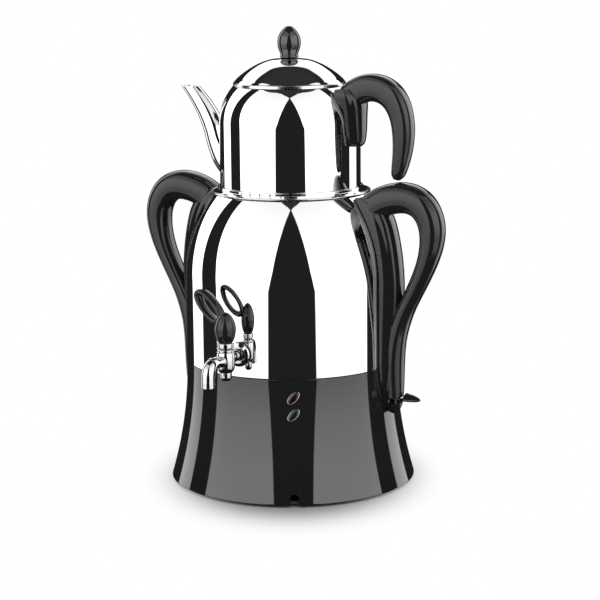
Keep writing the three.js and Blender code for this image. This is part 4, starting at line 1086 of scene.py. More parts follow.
@dataclass
class Vessel:
    """A polished vessel with a straight wall and a rounded shoulder, as the tank and the teapot are."""

    radius: float
    wall: float
    bottom: float
    # The radius of the bottom's outer edge, and of the flat that lies inside it
    heel: float
    flat: float
    # The heights at which the straight wall has a ring, outside and inside
    stations: Row
    inner_station: float
    # The shoulder, part of an ellipse that ends at the mouth
    wall_top: float
    rise: float
    mouth: float
    outer_rows: int
    inner_rows: int
    facets: int

    def dome(self, offset: float, rows: int) -> Profile:
        """Draws the shoulder from the wall up to the mouth.

        Args:
            offset: How far it lies outside the vessel.
            rows: How many parts it has.

        Returns:
            Radius and height of each ring.
        """
        radius, rise = self.radius + offset, self.rise + offset
        end = math.acos(self.mouth / self.radius)
        turns = [end * row / rows for row in range(rows + 1)]
        return [(radius * math.cos(turn), self.wall_top + rise * math.sin(turn)) for turn in turns]

    def skin(self) -> Profile:
        """Draws both sides of the vessel's wall as one line, from the bottom's middle to the floor's.

        Returns:
            Radius and height of each ring.
        """
        inside, floor = self.radius - self.wall, self.bottom + self.wall
        lowest, *others = self.stations
        outer_heel = [(self.flat, self.bottom), (self.radius, self.bottom), (self.radius, lowest)]
        inner_heel = [(inside, lowest), (inside, floor), (self.flat, floor)]
        return [
            (0, self.bottom),
            *softened(outer_heel, self.heel),
            *[(self.radius, z) for z in others],
            *self.dome(0, self.outer_rows),
            *reversed(self.dome(-self.wall, self.inner_rows)),
            (inside, self.inner_station),
            *softened(inner_heel, self.heel),
            (0, floor),
        ]


@dataclass
class Tank(Vessel):
    """The polished tank and the ring that closes it and carries the teapot."""

    radius: float = 95
    wall: float = 1
    bottom: float = 109.9
    heel: float = 0.6
    flat: float = 60
    stations: Row = (130, 150, 170)
    inner_station: float = 140
    wall_top: float = 186
    rise: float = 111.7
    mouth: float = 70
    outer_rows: int = 56
    inner_rows: int = 24
    facets: int = 256
    # How far inside the wall a handle's pad starts, and the highest share of the shoulder that it follows
    root_inset: float = 3
    root_share: float = 0.95
    # The lid ring's section, as radius and height
    ring_section: Table = (
        (67.2, 256),
        (68.2, 256),
        (68.2, 261.85),
        (71.6, 261.85),
        (71.6, 262.6),
        (65.4, 264.3),
        (64.9, 264.6),
        (64.9, 266.85),
        (63.9, 266.85),
        (63.9, 264.5),
        (55.5, 264.5),
        (55.5, 263.7),
        (63.9, 263.7),
        (67.2, 262.9),
    )
    ring_corner: float = 0.35
    # The steam holes, in two groups: height, radius, spacing in degrees and number either side of the middle
    hole_height: float = 265.4
    hole_radius: float = 0.95
    hole_pitch: float = 8.4
    hole_side: int = 2
    hole_centres: Row = (-85.7, 94.3)
    hole_span: Row = (62.5, 66.5)
    hole_facets: int = 20

    def reach(self, z: float) -> float:
        """Returns a radius just inside the tank's wall at a height."""
        share = min(max((z - self.wall_top) / self.rise, 0), self.root_share)
        return self.radius * math.sqrt(1 - share * share) - self.root_inset

    def shell(self) -> None:
        """Builds the tank."""
        shell = turned("tank_polished", self.skin(), self.facets, angle=40)
        dressed(shell, Finish.STEEL, "samovar_base", "steel_polished", "tank_shell")

    def ring(self) -> None:
        """Builds the lid ring with its steam holes."""
        ring = turned("lid_ring_polished", softened(self.ring_section, self.ring_corner, True), self.facets)
        for centre in self.hole_centres:
            for step in range(-self.hole_side, self.hole_side + 1):
                drill = rod("drill", self.hole_radius, *self.hole_span, self.hole_facets)
                put(drill, spin=about("Y", 90))
                put(drill, (0, 0, self.hole_height), about("Z", centre + step * self.hole_pitch))
                worked(ring, drill)
        dressed(tidy(ring), Finish.RING, "tank_lid", "steel_polished", "tank_lid_ring")

    def build(self) -> None:
        """Builds and dresses the tank and its ring."""
        self.shell()
        self.ring()


# Half of a mounting pad's section: the share of the way out, then those of the half widths at body and crest
PAD_SHAPE: Table = (
    (0, 1, 0),
    (0.3, 0.97, 0.03),
    (0.62, 0.5, 0.5),
    (0.86, 0.06, 0.94),
    (0.97, 0, 0.72),
    (1, 0, 0.3),
)
PAD_STEPS = 14


def pad_rings(
    stations: Sequence[Row], steps: int, inner: float, root: Callable[[float], float]
) -> list[Ring]:
    """Places the level sections of a mounting pad.

    Args:
        stations: Height, crest radius, half width at the body and at the crest.
        steps: How many parts the pad's height has.
        inner: Where the sections start, inside the body.
        root: Gives the body's radius at a height.

    Returns:
        The rings.
    """
    shape = smooth_line(PAD_SHAPE, PAD_STEPS)
    rings = []
    for z, crest, wide, narrow in smooth_line(stations, steps):
        start = root(z)
        half = [
            (start + (crest - start) * out, wide * at_root + narrow * at_crest)
            for out, at_root, at_crest in shape
        ]
        near = [(inner, wide), *half]
        far = [(x, -y) for x, y in reversed(near)]
        rings.append([Vector((x, y, z)) for x, y in [*near, *far]])
    return rings


@dataclass
class TankHandles:
    """The two moulded grips of the tank."""

    # The grip's line: x, z, half thickness and half width
    line: Table = (
        (66, 234, 12.6, 12.5),
        (77, 246, 13.2, 13.2),
        (86.5, 253.4, 13.5, 13.6),
        (95, 257.7, 13.5, 13.8),
        (103.5, 260.1, 13.5, 13.8),
        (112, 261, 13.4, 13.8),
        (120.2, 259.8, 13.1, 13.6),
        (127.6, 256.2, 12.6, 13.4),
        (133.2, 250.4, 11.9, 13.2),
        (137, 242.8, 11.3, 13),
        (138.9, 233.6, 10.7, 12.8),
        (138.4, 222, 9.8, 12.4),
        (135.6, 209.6, 8.7, 12),
        (131.3, 198, 7.9, 11.6),
        (125.6, 185.6, 7.4, 11.2),
        (119.4, 173.4, 7.2, 11),
        (113.4, 161.8, 7.6, 11),
        (108.4, 149.6, 8.2, 11.1),
        (104.8, 137, 8.6, 11.2),
        (102.8, 124, 8.9, 11.4),
        (102, 110, 9, 11.4),
        (101.9, 98, 8.9, 10.8),
        (101.7, 88, 8.9, 9.6),
        (101.4, 80, 8.7, 8.6),
        (101.2, 75.5, 8, 7),
        (100.8, 71.6, 6, 5),
        (100, 68.8, 2.9, 2.2),
    )
    line_steps: int = 120
    facets: int = 40
    power: float = 2.5
    # The pad's stations: height, crest radius, half width at the tank and at the crest
    pad: Table = (
        (69.5, 99.4, 2.4, 1.4),
        (74, 102.4, 5.4, 3.6),
        (80, 104.6, 8, 5.2),
        (93, 106.6, 11.8, 7.8),
        (107, 107.4, 14, 9.2),
        (130, 107.8, 14.2, 9.4),
        (150, 108.8, 14.3, 9.6),
        (170, 109.8, 14.3, 9.6),
        (186, 110, 14.3, 9.7),
        (200, 109, 14.3, 9.8),
        (214, 107.2, 14.3, 10),
        (230, 104, 14.3, 10.2),
        (242, 100.2, 14.3, 10.4),
        (252, 94, 14.2, 10.4),
        (260, 85, 13.8, 10),
    )
    pad_steps: int = 60
    pad_inner: float = 50
    # What is kept clear of the tank, the base and the lid ring
    clear: float = 0.3
    clear_facets: int = 192
    tank_span: Row = (109, 262)
    tank_rows: int = 40
    base_low: float = 40
    base_rows: int = 24
    ring_radius: float = 72.5
    ring_span: Row = (250, 300)
    # The slot in the right handle's foot, in which the thermostat's lever sweeps
    slot: Box = ((100.6, -40, 78.2), (120, 40, 83.4))

    def trim(self, grip: Item, tank: Tank, base: Base) -> None:
        """Cuts the tank, the base and the lid ring out of a handle.

        Args:
            grip: The handle.
            tank: The tank.
            base: The base.
        """
        low, high = self.tank_span
        rows = [(0, low), (tank.radius + self.clear, low), *tank.dome(self.clear, self.tank_rows), (0, high)]
        worked(grip, turned("tank_clear", rows, self.clear_facets))
        rows = [
            (0, self.base_low),
            *base.column(self.base_low, base.bend_top, self.base_rows, self.clear),
            (base.top_radius + self.clear, base.top),
            (0, base.top),
        ]
        worked(grip, turned("base_clear", rows, self.clear_facets))
        worked(grip, rod("ring_clear", self.ring_radius, *self.ring_span, self.clear_facets))

    def build(self) -> None:
        """Builds and dresses both handles."""
        tank, base = Tank(), Base()
        grip = lofted("handle_right_grip", swept_rings(self.line, self.line_steps, self.facets, self.power))
        pad = lofted("pad", pad_rings(self.pad, self.pad_steps, self.pad_inner, tank.reach))
        worked(grip, pad, Fit.UNION)
        self.trim(grip, tank, base)
        left = mirrored(grip, "handle_left_grip")
        worked(grip, block("slot", *self.slot))
        worked(grip, block("window", *base.window))
        dressed(tidy(grip, angle=40), Finish.GRIP, "samovar_base", "plastic_gloss", "handle_right")
        dressed(tidy(left, angle=40), Finish.GRIP, "samovar_base", "plastic_gloss", "handle_left")


@dataclass
class HeatLever:
    """The thermostat's lever with its leaf-shaped paddle."""

    # The lever's line: x, z, half width and half thickness
    paddle: Table = (
        (88, 80.7, 2.1, 1.3),
        (98, 80.7, 2.1, 1.3),
        (104, 81, 1.7, 1.3),
        (106.5, 81, 1.6, 1.3),
        (110.6, 81, 1.8, 1.4),
        (112.4, 83.4, 5, 1.6),
        (116, 83.2, 4.8, 1.6),
        (121, 82.8, 3.9, 1.5),
        (125.7, 82.3, 2.2, 1.2),
        (127.8, 82, 0.8, 0.6),
    )
    steps: int = 48
    corners: int = 32
    power: float = 2.5
    # The paddle's tilt in degrees, and where along the lever it starts and over what length it grows
    tilt: float = 30
    tilt_start: float = 102
    tilt_length: float = 9
    # The hub on the spindle, as radius and height
    pivot: float = 86
    hub: Table = ((2.28, 78.8), (5, 78.8), (5, 82.6), (2.28, 82.6))
    hub_corner: float = 0.4
    hub_facets: int = 40

    def build(self) -> None:
        """Builds and dresses the lever."""
        rings = []
        for x, z, wide, thick in smooth_line(self.paddle, self.steps):
            spin = about("X", self.tilt * min(max((x - self.tilt_start) / self.tilt_length, 0), 1))
            ring = []
            for corner in range(self.corners):
                a, b = rounded(corner / self.corners, self.power)
                ring.append(spin @ Vector((0, a * wide, b * thick)) + Vector((x, 0, z)))
            rings.append(ring)
        paddle = lofted("paddle", rings)
        hub = turned("hub", softened(self.hub, self.hub_corner, True), self.hub_facets)
        lever = joined("heat_lever", paddle, put(hub, (self.pivot, 0, 0)))
        dressed(tidy(lever, angle=45), Finish.GRIP, "thermostat_key", "plastic_gloss", "thermostat_lever")


# The tap


@dataclass
class Tap:
    """The chromed tap with its egg knob and lever loop."""

    # The pipe's height, and the tap's distance from the samovar's axis
    height: float = 130.5
    reach: float = 118.5
    pipe_radius: float = 5
    pipe_start: float = 86
    pipe_bore: float = 3
    bore_start: float = 85
    # The barrel, as radius and height, and the bore for its plug
    barrel: Table = ((5.6, 119.6), (7, 120.8), (8, 124.5), (8.2, 129), (8, 133.4), (7.2, 136.8))
    barrel_steps: int = 24
    barrel_bore: float = 5.35
    barrel_bore_span: Row = (119, 138)
    barrel_bore_facets: int = 48
    # The spout's line: distance from the axis, height and the two half widths; its bore runs on below it
    spout: Table = (
        (118.5, 129.6, 5, 5),
        (126, 129.9, 4.8, 4.8),
        (134, 130.5, 5, 5),
        (140, 130.7, 5.4, 5.4),
        (144.8, 128.7, 5.8, 5.8),
        (147.5, 124, 5.9, 5.9),
        (148.1, 118, 6, 6),
        (148.2, 112, 6.1, 6.1),
    )
    spout_steps: int = 48
    spout_facets: int = 48
    spout_wall: float = 1.6
    outlet: Row = (148.2, 110, 4.5, 4.5)
    bore_steps: int = 40
    bore_facets: int = 40
    # Sections as radius and height; the flange's height is its distance along the pipe
    facets: int = 64
    flange_facets: int = 80
    flange: Table = ((5.3, 96.3), (10.9, 96.3), (10.9, 97.2), (10.2, 98), (7.6, 99.2), (5.3, 99.2))
    bonnet: Table = ((3.3, 137.3), (7.1, 137.3), (7.1, 138.9), (5.6, 140.3), (3.3, 140.3))
    collar: Table = ((3.3, 140.6), (7, 140.6), (7, 144.9), (3.3, 144.9))
    edge: float = 0.4
    collar_edge: float = 0.8
    # The nut and the egg, each a curve and the way for the plug's end
    nut: Table = ((0, 111.4), (2.6, 111.8), (4.4, 112.9), (5.2, 114.6), (5.4, 116.6), (5.4, 119.3))
    nut_way: Table = ((2.5, 119.3), (2.5, 113.2), (0, 113.2))
    nut_steps: int = 20
    nut_facets: int = 48
    egg: Table = (
        (6, 145.2),
        (7.4, 147.6),
        (8.5, 151),
        (9.1, 155),
        (9.1, 158.5),
        (8.4, 162),
        (7.1, 165.2),
        (5.2, 168.4),
        (2.6, 170.8),
        (0, 171.6),
    )
    egg_way: Table = ((0, 152.3), (3.3, 152.3), (3.3, 145.2))
    egg_steps: int = 40
    # The lever loop: half length and half height of its line, half thickness and its swelling, and half width
    loop_long: float = 16.6
    loop_high: float = 6.8
    loop_thick: float = 2.1
    loop_swell: float = 0.8
    loop_wide: float = 4.5
    loop_power: float = 2.4
    loop_steps: int = 96
    loop_corners: int = 28
    # The loop's lean about Y, its place beside the tap's axis and its turn about it
    loop_lean: float = 38
    loop_place: Row = (-21.1, 3, 173.4)
    loop_turn: float = -14

    def at_tap(self, item: Item) -> Item:
        """Moves a piece from the Z axis to the tap's axis."""
        return put(item, (0, -self.reach, 0))

    def along(self, item: Item) -> Item:
        """Lays a piece on the pipe's axis, pointing away from the tank."""
        return put(item, (0, 0, self.height), about("X", 90))

    def forward(self, item: Item) -> Item:
        """Turns a piece from +X to the tap's side."""
        return put(item, spin=about("Z", -90))

    def body(self) -> None:
        """Builds the pipe, the barrel and the spout in one, and bores them."""
        (_, low), (_, high) = self.barrel[0], self.barrel[-1]
        rows = [(0, low), *smooth_line(self.barrel, self.barrel_steps), (0, high)]
        body = self.at_tap(turned("tap_body_cast", rows, self.facets))
        pipe = rod("pipe", self.pipe_radius, self.pipe_start, self.reach, self.facets)
        worked(body, self.along(pipe), Fit.UNION)
        spout = lofted("spout", swept_rings(self.spout, self.spout_steps, self.spout_facets, 2))
        worked(body, self.forward(spout), Fit.UNION)
        line = [(x, z, a - self.spout_wall, b - self.spout_wall) for x, z, a, b in self.spout[2:]]
        bore = lofted("bore", swept_rings([*line, self.outlet], self.bore_steps, self.bore_facets, 2))
        worked(body, self.forward(bore))
        pipe_bore = rod("pipe_bore", self.pipe_bore, self.bore_start, self.reach, self.bore_facets)
        worked(body, self.along(pipe_bore))
        barrel_bore = rod("barrel_bore", self.barrel_bore, *self.barrel_bore_span, self.barrel_bore_facets)
        worked(body, self.at_tap(barrel_bore))
        dressed(tidy(body, angle=40), Finish.CHROME, "samovar_base", "chrome", "tap_body")

    def fittings(self) -> None:
        """Builds the flange, the bonnet, the collar and the nut."""
        flange = turned("tap_rose", softened(self.flange, self.edge, True), self.flange_facets)
        dressed(self.along(flange), Finish.CHROME, "samovar_base", "chrome", "tap_flange")
        bonnet = turned("tap_cap", softened(self.bonnet, self.edge, True), self.facets)
        dressed(self.at_tap(bonnet), Finish.CHROME, "samovar_base", "chrome", "tap_bonnet")
        collar = turned("key_collar", softened(self.collar, self.collar_edge, True), self.facets)
        dressed(self.at_tap(collar), Finish.CHROME, "tap_key", "chrome", "tap_collar")
        nut = turned("tap_acorn", [*smooth_line(self.nut, self.nut_steps), *self.nut_way], self.nut_facets)
        dressed(self.at_tap(nut), Finish.CHROME, "tap_key", "chrome", "tap_nut")

    def knob(self) -> None:
        """Builds the egg knob."""
        rows = [*self.egg_way, *smooth_line(self.egg, self.egg_steps)]
        egg = turned("tap_egg", rows, self.facets, angle=50)
        dressed(self.at_tap(egg), Finish.GRIP, "tap_key", "plastic_gloss", "tap_knob")

    def loop(self) -> None:
        """Builds the lever loop, an oval with a rounded section."""
        rings = []
        for step in range(self.loop_steps + 1):
            turn = math.tau * step / self.loop_steps
            c, s = math.cos(turn), math.sin(turn)
            out = Vector((c / self.loop_long, s / self.loop_high)).normalized()
            half = self.loop_thick + self.loop_swell * c * c
            ring = []
            for corner in range(self.loop_corners):
                a, b = rounded(corner / self.loop_corners, self.loop_power)
                x = self.loop_long * c + out.x * a * half
                z = self.loop_high * s + out.y * a * half
                ring.append(Vector((x, b * self.loop_wide, z)))
            rings.append(ring)
        loop = lofted("tap_loop", rings, angle=60, capped=False)
        put(loop, self.loop_place, about("Y", self.loop_lean))
        put(loop, (0, -self.reach, 0), about("Z", self.loop_turn))
        dressed(loop, Finish.GRIP, "tap_key", "plastic_gloss", "tap_lever_loop")

    def build(self) -> None:
        """Builds and dresses the tap."""
        self.body()
        self.fittings()
        self.knob()
        self.loop()


# The teapot


@dataclass
class Teapot(Vessel):
    """The polished teapot with its spout, grip, lid and knob."""

    radius: float = 62.8
    wall: float = 1
    bottom: float = 264.8
    heel: float = 2.3
    flat: float = 40
    stations: Row = (280, 295, 308)
    inner_station: float = 290
    wall_top: float = 322
    rise: float = 55
    mouth: float = 50.5
    outer_rows: int = 40
    inner_rows: int = 16
    facets: int = 224
    # The spout's line: x, z and the two half widths; its mouth is cut level
    spout_line: Table = (
        (-50, 270, 12.2, 12.2),
        (-58, 278.5, 12.1, 12.1),
        (-66.5, 288, 11.8, 11.8),
        (-73, 301, 10.9, 10.9),
        (-78, 315, 10.1, 10.1),
        (-85, 328.5, 8.9, 8.9),
        (-93, 340, 7.8, 7.8),
        (-102.3, 351.2, 6.6, 6.6),
        (-110, 359.5, 6.2, 6.2),
    )
    spout_steps: int = 64
    spout_facets: int = 56
    spout_mouth: float = 351.8
    spout_wall: float = 1.2
    spout_clear_span: Row = (255, 345)
    # The grip's line: x, z, half thickness and half width
    grip_line: Table = (
        (50, 335, 10, 10.5),
        (58, 344, 11.2, 11),
        (66.5, 350.6, 11.8, 11),
        (75, 354.5, 12, 11),
        (84.2, 355.3, 11.9, 11),
        (93, 353.2, 11.6, 11),
        (100.6, 348.2, 11, 11),
        (106.3, 340.2, 10.2, 10.8),
        (109.9, 330, 9.4, 10.4),
        (111.4, 318, 8.8, 10),
        (111, 305, 8, 9.3),
        (109.2, 293, 7, 8.3),
        (107.2, 284.2, 6, 7.2),
        (105.9, 279.6, 4.9, 5.8),
        (105.2, 276.6, 2.8, 3.4),
    )
    grip_steps: int = 90
    grip_facets: int = 40
    grip_power: float = 3.1
    # The block's stations: height, crest radius, half width at the pot and at the crest
    block_stations: Table = (
        (303.8, 70, 6.5, 5),
        (306.2, 72, 9.5, 7),
        (312, 73.2, 11.5, 8),
        (321, 73.5, 13.2, 9),
        (331, 73.6, 14.6, 9.6),
        (341, 73.4, 16.6, 10.6),
        (349, 70.4, 17.4, 11),
        (354, 65.4, 16, 10.6),
    )
    block_steps: int = 40
    block_inner: float = 53
    block_inset: float = 2
    # What the spout and the grip keep clear of the pot, and the grip of the lid
    clear: float = 0.3
    clear_facets: int = 192
    clear_rows: int = 32
    clear_span: Row = (264, 356)
    lid_clear: float = 50.6
    lid_clear_span: Row = (330, 400)
    lid_clear_facets: int = 160
    # The lid's rim and dome, as radius and height, and the thickness of its sheet
    lid_rim: Table = ((47.6, 352), (48.6, 352), (48.6, 355.1), (50, 355.1), (50, 357.6))
    lid_dome: Table = (
        (49.2, 358.6),
        (47.4, 360.8),
        (43, 364.7),
        (37, 369),
        (29, 373.6),
        (19, 377.4),
        (9, 378.9),
        (2.4, 379.2),
    )
    lid_inner: Table = ((47.6, 357.6), (47.6, 352))
    lid_steps: int = 40
    lid_corner: float = 0.4
    sheet_side: float = 0.5
    sheet_down: float = 1
    screw_hole: float = 2.4
    # The lid's knob, a curve and the way for its screw
    knob_curve: Table = (
        (7.6, 379.5),
        (8.3, 380.3),
        (8.1, 381.2),
        (7.7, 382),
        (8.3, 384),
        (9.5, 387.2),
        (10.3, 391),
        (10.2, 395),
        (9.2, 399),
        (7.4, 402),
        (5, 404.8),
        (2.3, 406.9),
        (0, 407.2),
    )
    knob_way: Table = ((0, 389), (2.35, 389), (2.35, 377.7))
    knob_steps: int = 60
    knob_facets: int = 72

    def pot(self) -> None:
        """Builds the teapot's body."""
        pot = turned("teapot_polished", self.skin(), self.facets, angle=40)
        dressed(pot, Finish.STEEL, "teapot", "steel_polished", "teapot_body")

    def spout(self) -> None:
        """Builds the spout as a bent tube with a level mouth."""
        rings = swept_rings(self.spout_line, self.spout_steps, self.spout_facets, 2)
        tube = lofted("spout_polished", rings, angle=60, capped=False)
        take_up(tube)
        bpy.ops.object.mode_set(mode="EDIT")
        bpy.ops.mesh.select_all(action="SELECT")
        bpy.ops.mesh.bisect(plane_co=(0, 0, self.spout_mouth * MM), plane_no=(0, 0, 1), clear_outer=True)
        bpy.ops.object.mode_set(mode="OBJECT")
        wall = tube.modifiers.new("wall", "SOLIDIFY")
        wall.thickness = self.spout_wall * MM
        wall.offset = -1
        bpy.ops.object.modifier_apply(modifier=wall.name)
        worked(tube, rod("pot_way", self.radius + self.clear, *self.spout_clear_span, self.clear_facets))
        dressed(tidy(tube, angle=50), Finish.DRAWN, "teapot", "steel_polished", "teapot_spout")

    def root(self, z: float) -> float:
        """Returns a radius just inside the pot's wall, the same at each height z."""
        return self.radius - self.block_inset

    def grip(self) -> None:
        """Builds the handle with its mounting block."""
        rings = swept_rings(self.grip_line, self.grip_steps, self.grip_facets, self.grip_power)
        grip = lofted("teapot_grip", rings)
        pad = lofted("pad", pad_rings(self.block_stations, self.block_steps, self.block_inner, self.root))
        worked(grip, pad, Fit.UNION)
        low, high = self.clear_span
        rows = [(0, low), (self.radius + self.clear, low), *self.dome(self.clear, self.clear_rows), (0, high)]
        worked(grip, turned("pot_clear", rows, self.clear_facets))
        worked(grip, rod("lid_clear", self.lid_clear, *self.lid_clear_span, self.lid_clear_facets))
        dressed(tidy(grip, angle=40), Finish.GRIP, "teapot", "plastic_gloss", "teapot_handle")

    def lid(self) -> None:
        """Builds the lid."""
        first, *dome = smooth_line(self.lid_dome, self.lid_steps)
        under = [(max(r - self.sheet_side, self.screw_hole), z - self.sheet_down) for r, z in reversed(dome)]
        rim = softened([*self.lid_rim, first], self.lid_corner)
        lid = turned("lid_polished", [*rim, *dome, *under, *self.lid_inner], self.facets)
        dressed(lid, Finish.LID, "teapot_lid_body", "steel_polished", "teapot_lid")

    def knob(self) -> None:
        """Builds the lid's knob."""
        rows = [*self.knob_way, *smooth_line(self.knob_curve, self.knob_steps)]
        knob = turned("lid_egg", rows, self.knob_facets, angle=50)
        dressed(knob, Finish.BLACK, "teapot_lid_body", "plastic_gloss", "lid_knob")

    def build(self) -> None:
        """Builds and dresses the teapot."""
        self.pot()
        self.spout()
        self.grip()
        self.lid()
        self.knob()


# The solids inside


@dataclass(frozen=True)
class InnerWorks:
    """CAD solids that keep their shape and only get a finish, by how their names start."""

    zinc: tuple[str, ...] = (
        "base_post",
        "base_screw",
        "heat_shield",
        "heating_element",
        "thermostat_bracket",
        "handle_stud",
        "handle_screw",
        "tap_locknut",
        "teapot_handle_stud",
        "lid_screw",
    )
    aluminium: tuple[str, ...] = ("heater_plate",)
    ceramic: tuple[str, ...] = ("thermal_cutout", "thermostat_body", "lamp_holder", "terminal_block")
    brass: tuple[str, ...] = ("inlet_pin", "tap_plug")
    rubber: tuple[str, ...] = ("tap_gasket",)

    def dress(self, nodes: dict[str, Item]) -> None:
        """Gives each kept solid its finish.

        Args:
            nodes: The CAD nodes by name.
        """
        groups = {
            Finish.ZINC: self.zinc,
            Finish.ALUMINIUM: self.aluminium,
            Finish.CERAMIC: self.ceramic,
            Finish.BRASS: self.brass,
            Finish.RUBBER: self.rubber,
        }
        for finish, starts in groups.items():
            for name, item in nodes.items():
                if name.startswith(starts):
                    for slot in item.material_slots:
                        slot.material = finish.material()
                    LOG.info("%s keeps its solid in %s", name, finish.name)


# The studio


@dataclass(frozen=True)
class Panels:
    """The lit panels that polished metal shows, with dark gaps between them.

    Across is the angle from the camera's side and lift is the height over the horizon, both in degrees.
    An edge is a pair of numbers, between which a panel turns into a gap.
    """

    # The lowest lift of the two curves, and the span that they cover
    lowest: float = -20
    span: float = 110
    # Half width of the dark opening in front by lift, in hundreds of degrees
    opening: Table = (
        (-15, 0.262),
        (-6, 0.232),
        (5, 0.2),
        (18, 0.172),
        (30, 0.141),
        (42, 0.1),
        (50, 0.062),
        (56, 0.022),
        (58.5, 0.006),
        (61, 0.05),
        (64, 0.16),
        (67, 0.28),
        (69, 0.5),
        (71, 0.95),
    )
    opening_unit: float = 100
    opening_edge: Row = (-0.5, 1.1)
    # Brightness of the panels by lift, as a share of the full brightness
    power: Table = (
        (-20, 0.33),
        (-15, 0.36),
        (-4, 0.55),
        (8, 0.65),
        (22, 0.65),
        (34, 0.45),
        (45, 0.3),
        (60, 0.27),
        (66, 0.26),
    )
    full: float = 4.0
    # The dark overhead in front, which comes lower beyond an angle across
    head_edge: Row = (66, 67.5)
    head_across: float = 45
    head_slope: float = 0.17
    # Where the front ends and the rear starts: further back with the lift, and less so near the top
    turn_edge: Row = (88.5, 90)
    turn_slope: float = 0.15
    turn_top: float = 60
    turn_top_slope: float = 0.5
    # The bright strip behind that, the dark low field at the back and the dark overhead there
    strip_edge: Row = (112, 113.5)
    field_edge: Row = (135.5, 136.5)
    field_slope: float = 0.3
    field_top_edge: Row = (15, 17)
    field_top_slope: float = 0.35
    rear_head_edge: Row = (54.5, 56)
    rear_head_slope: float = 0.1
    # The dark below, and how quickly an edge goes dark
    under_edge: Row = (-40, -28)
    sharpness: float = 3
    # The greys of the gaps, low down and overhead, and the lifts between which they change
    gap_greys: Row = (0.015, 0.032)
    gap_edge: Row = (45, 65)

    def by_lift(self, lift: Wire, rows: Table) -> Wire:
        """Reads a curve at a lift.

        Args:
            lift: The lift.
            rows: Lifts and values, in order.

        Returns:
            The value there, as a grey.
        """
        stops = [((at - self.lowest) / self.span, (value,) * 3) for at, value in rows]
        share = (lift - self.lowest) * (1 / self.span)
        return lift.graph.node("ShaderNodeValToRGB", {"stops": stops}, {0: share})

    def front(self, across: Wire, lift: Wire) -> Wire:
        """Returns the gaps on the camera's side: the opening and the overhead.

        Args:
            across: The angle from the camera's side.
            lift: The height over the horizon.

        Returns:
            1 in a gap and 0 on a panel.
        """
        middle = 1 - (across - self.by_lift(lift, self.opening) * self.opening_unit).step(*self.opening_edge)
        head = (lift + (across - self.head_across).most(0) * self.head_slope).step(*self.head_edge)
        return (middle + head).least(1)

    def rear(self, across: Wire, lift: Wire) -> Wire:
        """Returns the gaps at the back: the side, the low field and the overhead.

        Args:
            across: The angle from the camera's side.
            lift: The height over the horizon.

        Returns:
            1 in a gap and 0 on a panel.
        """
        away = 180 - across
        strip = across.step(*self.strip_edge)
        field = (across - lift.most(0) * self.field_slope).step(*self.field_edge)
        low = field * (1 - (lift - away * self.field_top_slope).step(*self.field_top_edge))
        high = (lift + away * self.rear_head_slope).step(*self.rear_head_edge)
        return (1 - strip + low + high).least(1)

    def light(self, across: Wire, lift: Wire) -> Wire:
        """Returns what a mirror shows of the studio.

        Args:
            across: The angle from the camera's side.
            lift: The height over the horizon.

        Returns:
            The colour there.
        """
        graph = lift.graph
        late = (lift - self.turn_top).most(0) * self.turn_top_slope
        turn = (across - lift.most(0) * self.turn_slope + late).step(*self.turn_edge)
        under = 1 - lift.step(*self.under_edge)
        gaps = (self.front(across, lift) * (1 - turn) + self.rear(across, lift) * turn + under).least(1)
        dark = 1 - (1 - gaps) ** self.sharpness
        values = {0: self.by_lift(lift, self.power), "Scale": self.full}
        lit = graph.node("ShaderNodeVectorMath", {"operation": "SCALE"}, values)
        low, high = self.gap_greys
        return graph.blend(dark, lit, graph.blend(lift.step(*self.gap_edge), grey(low), grey(high)))


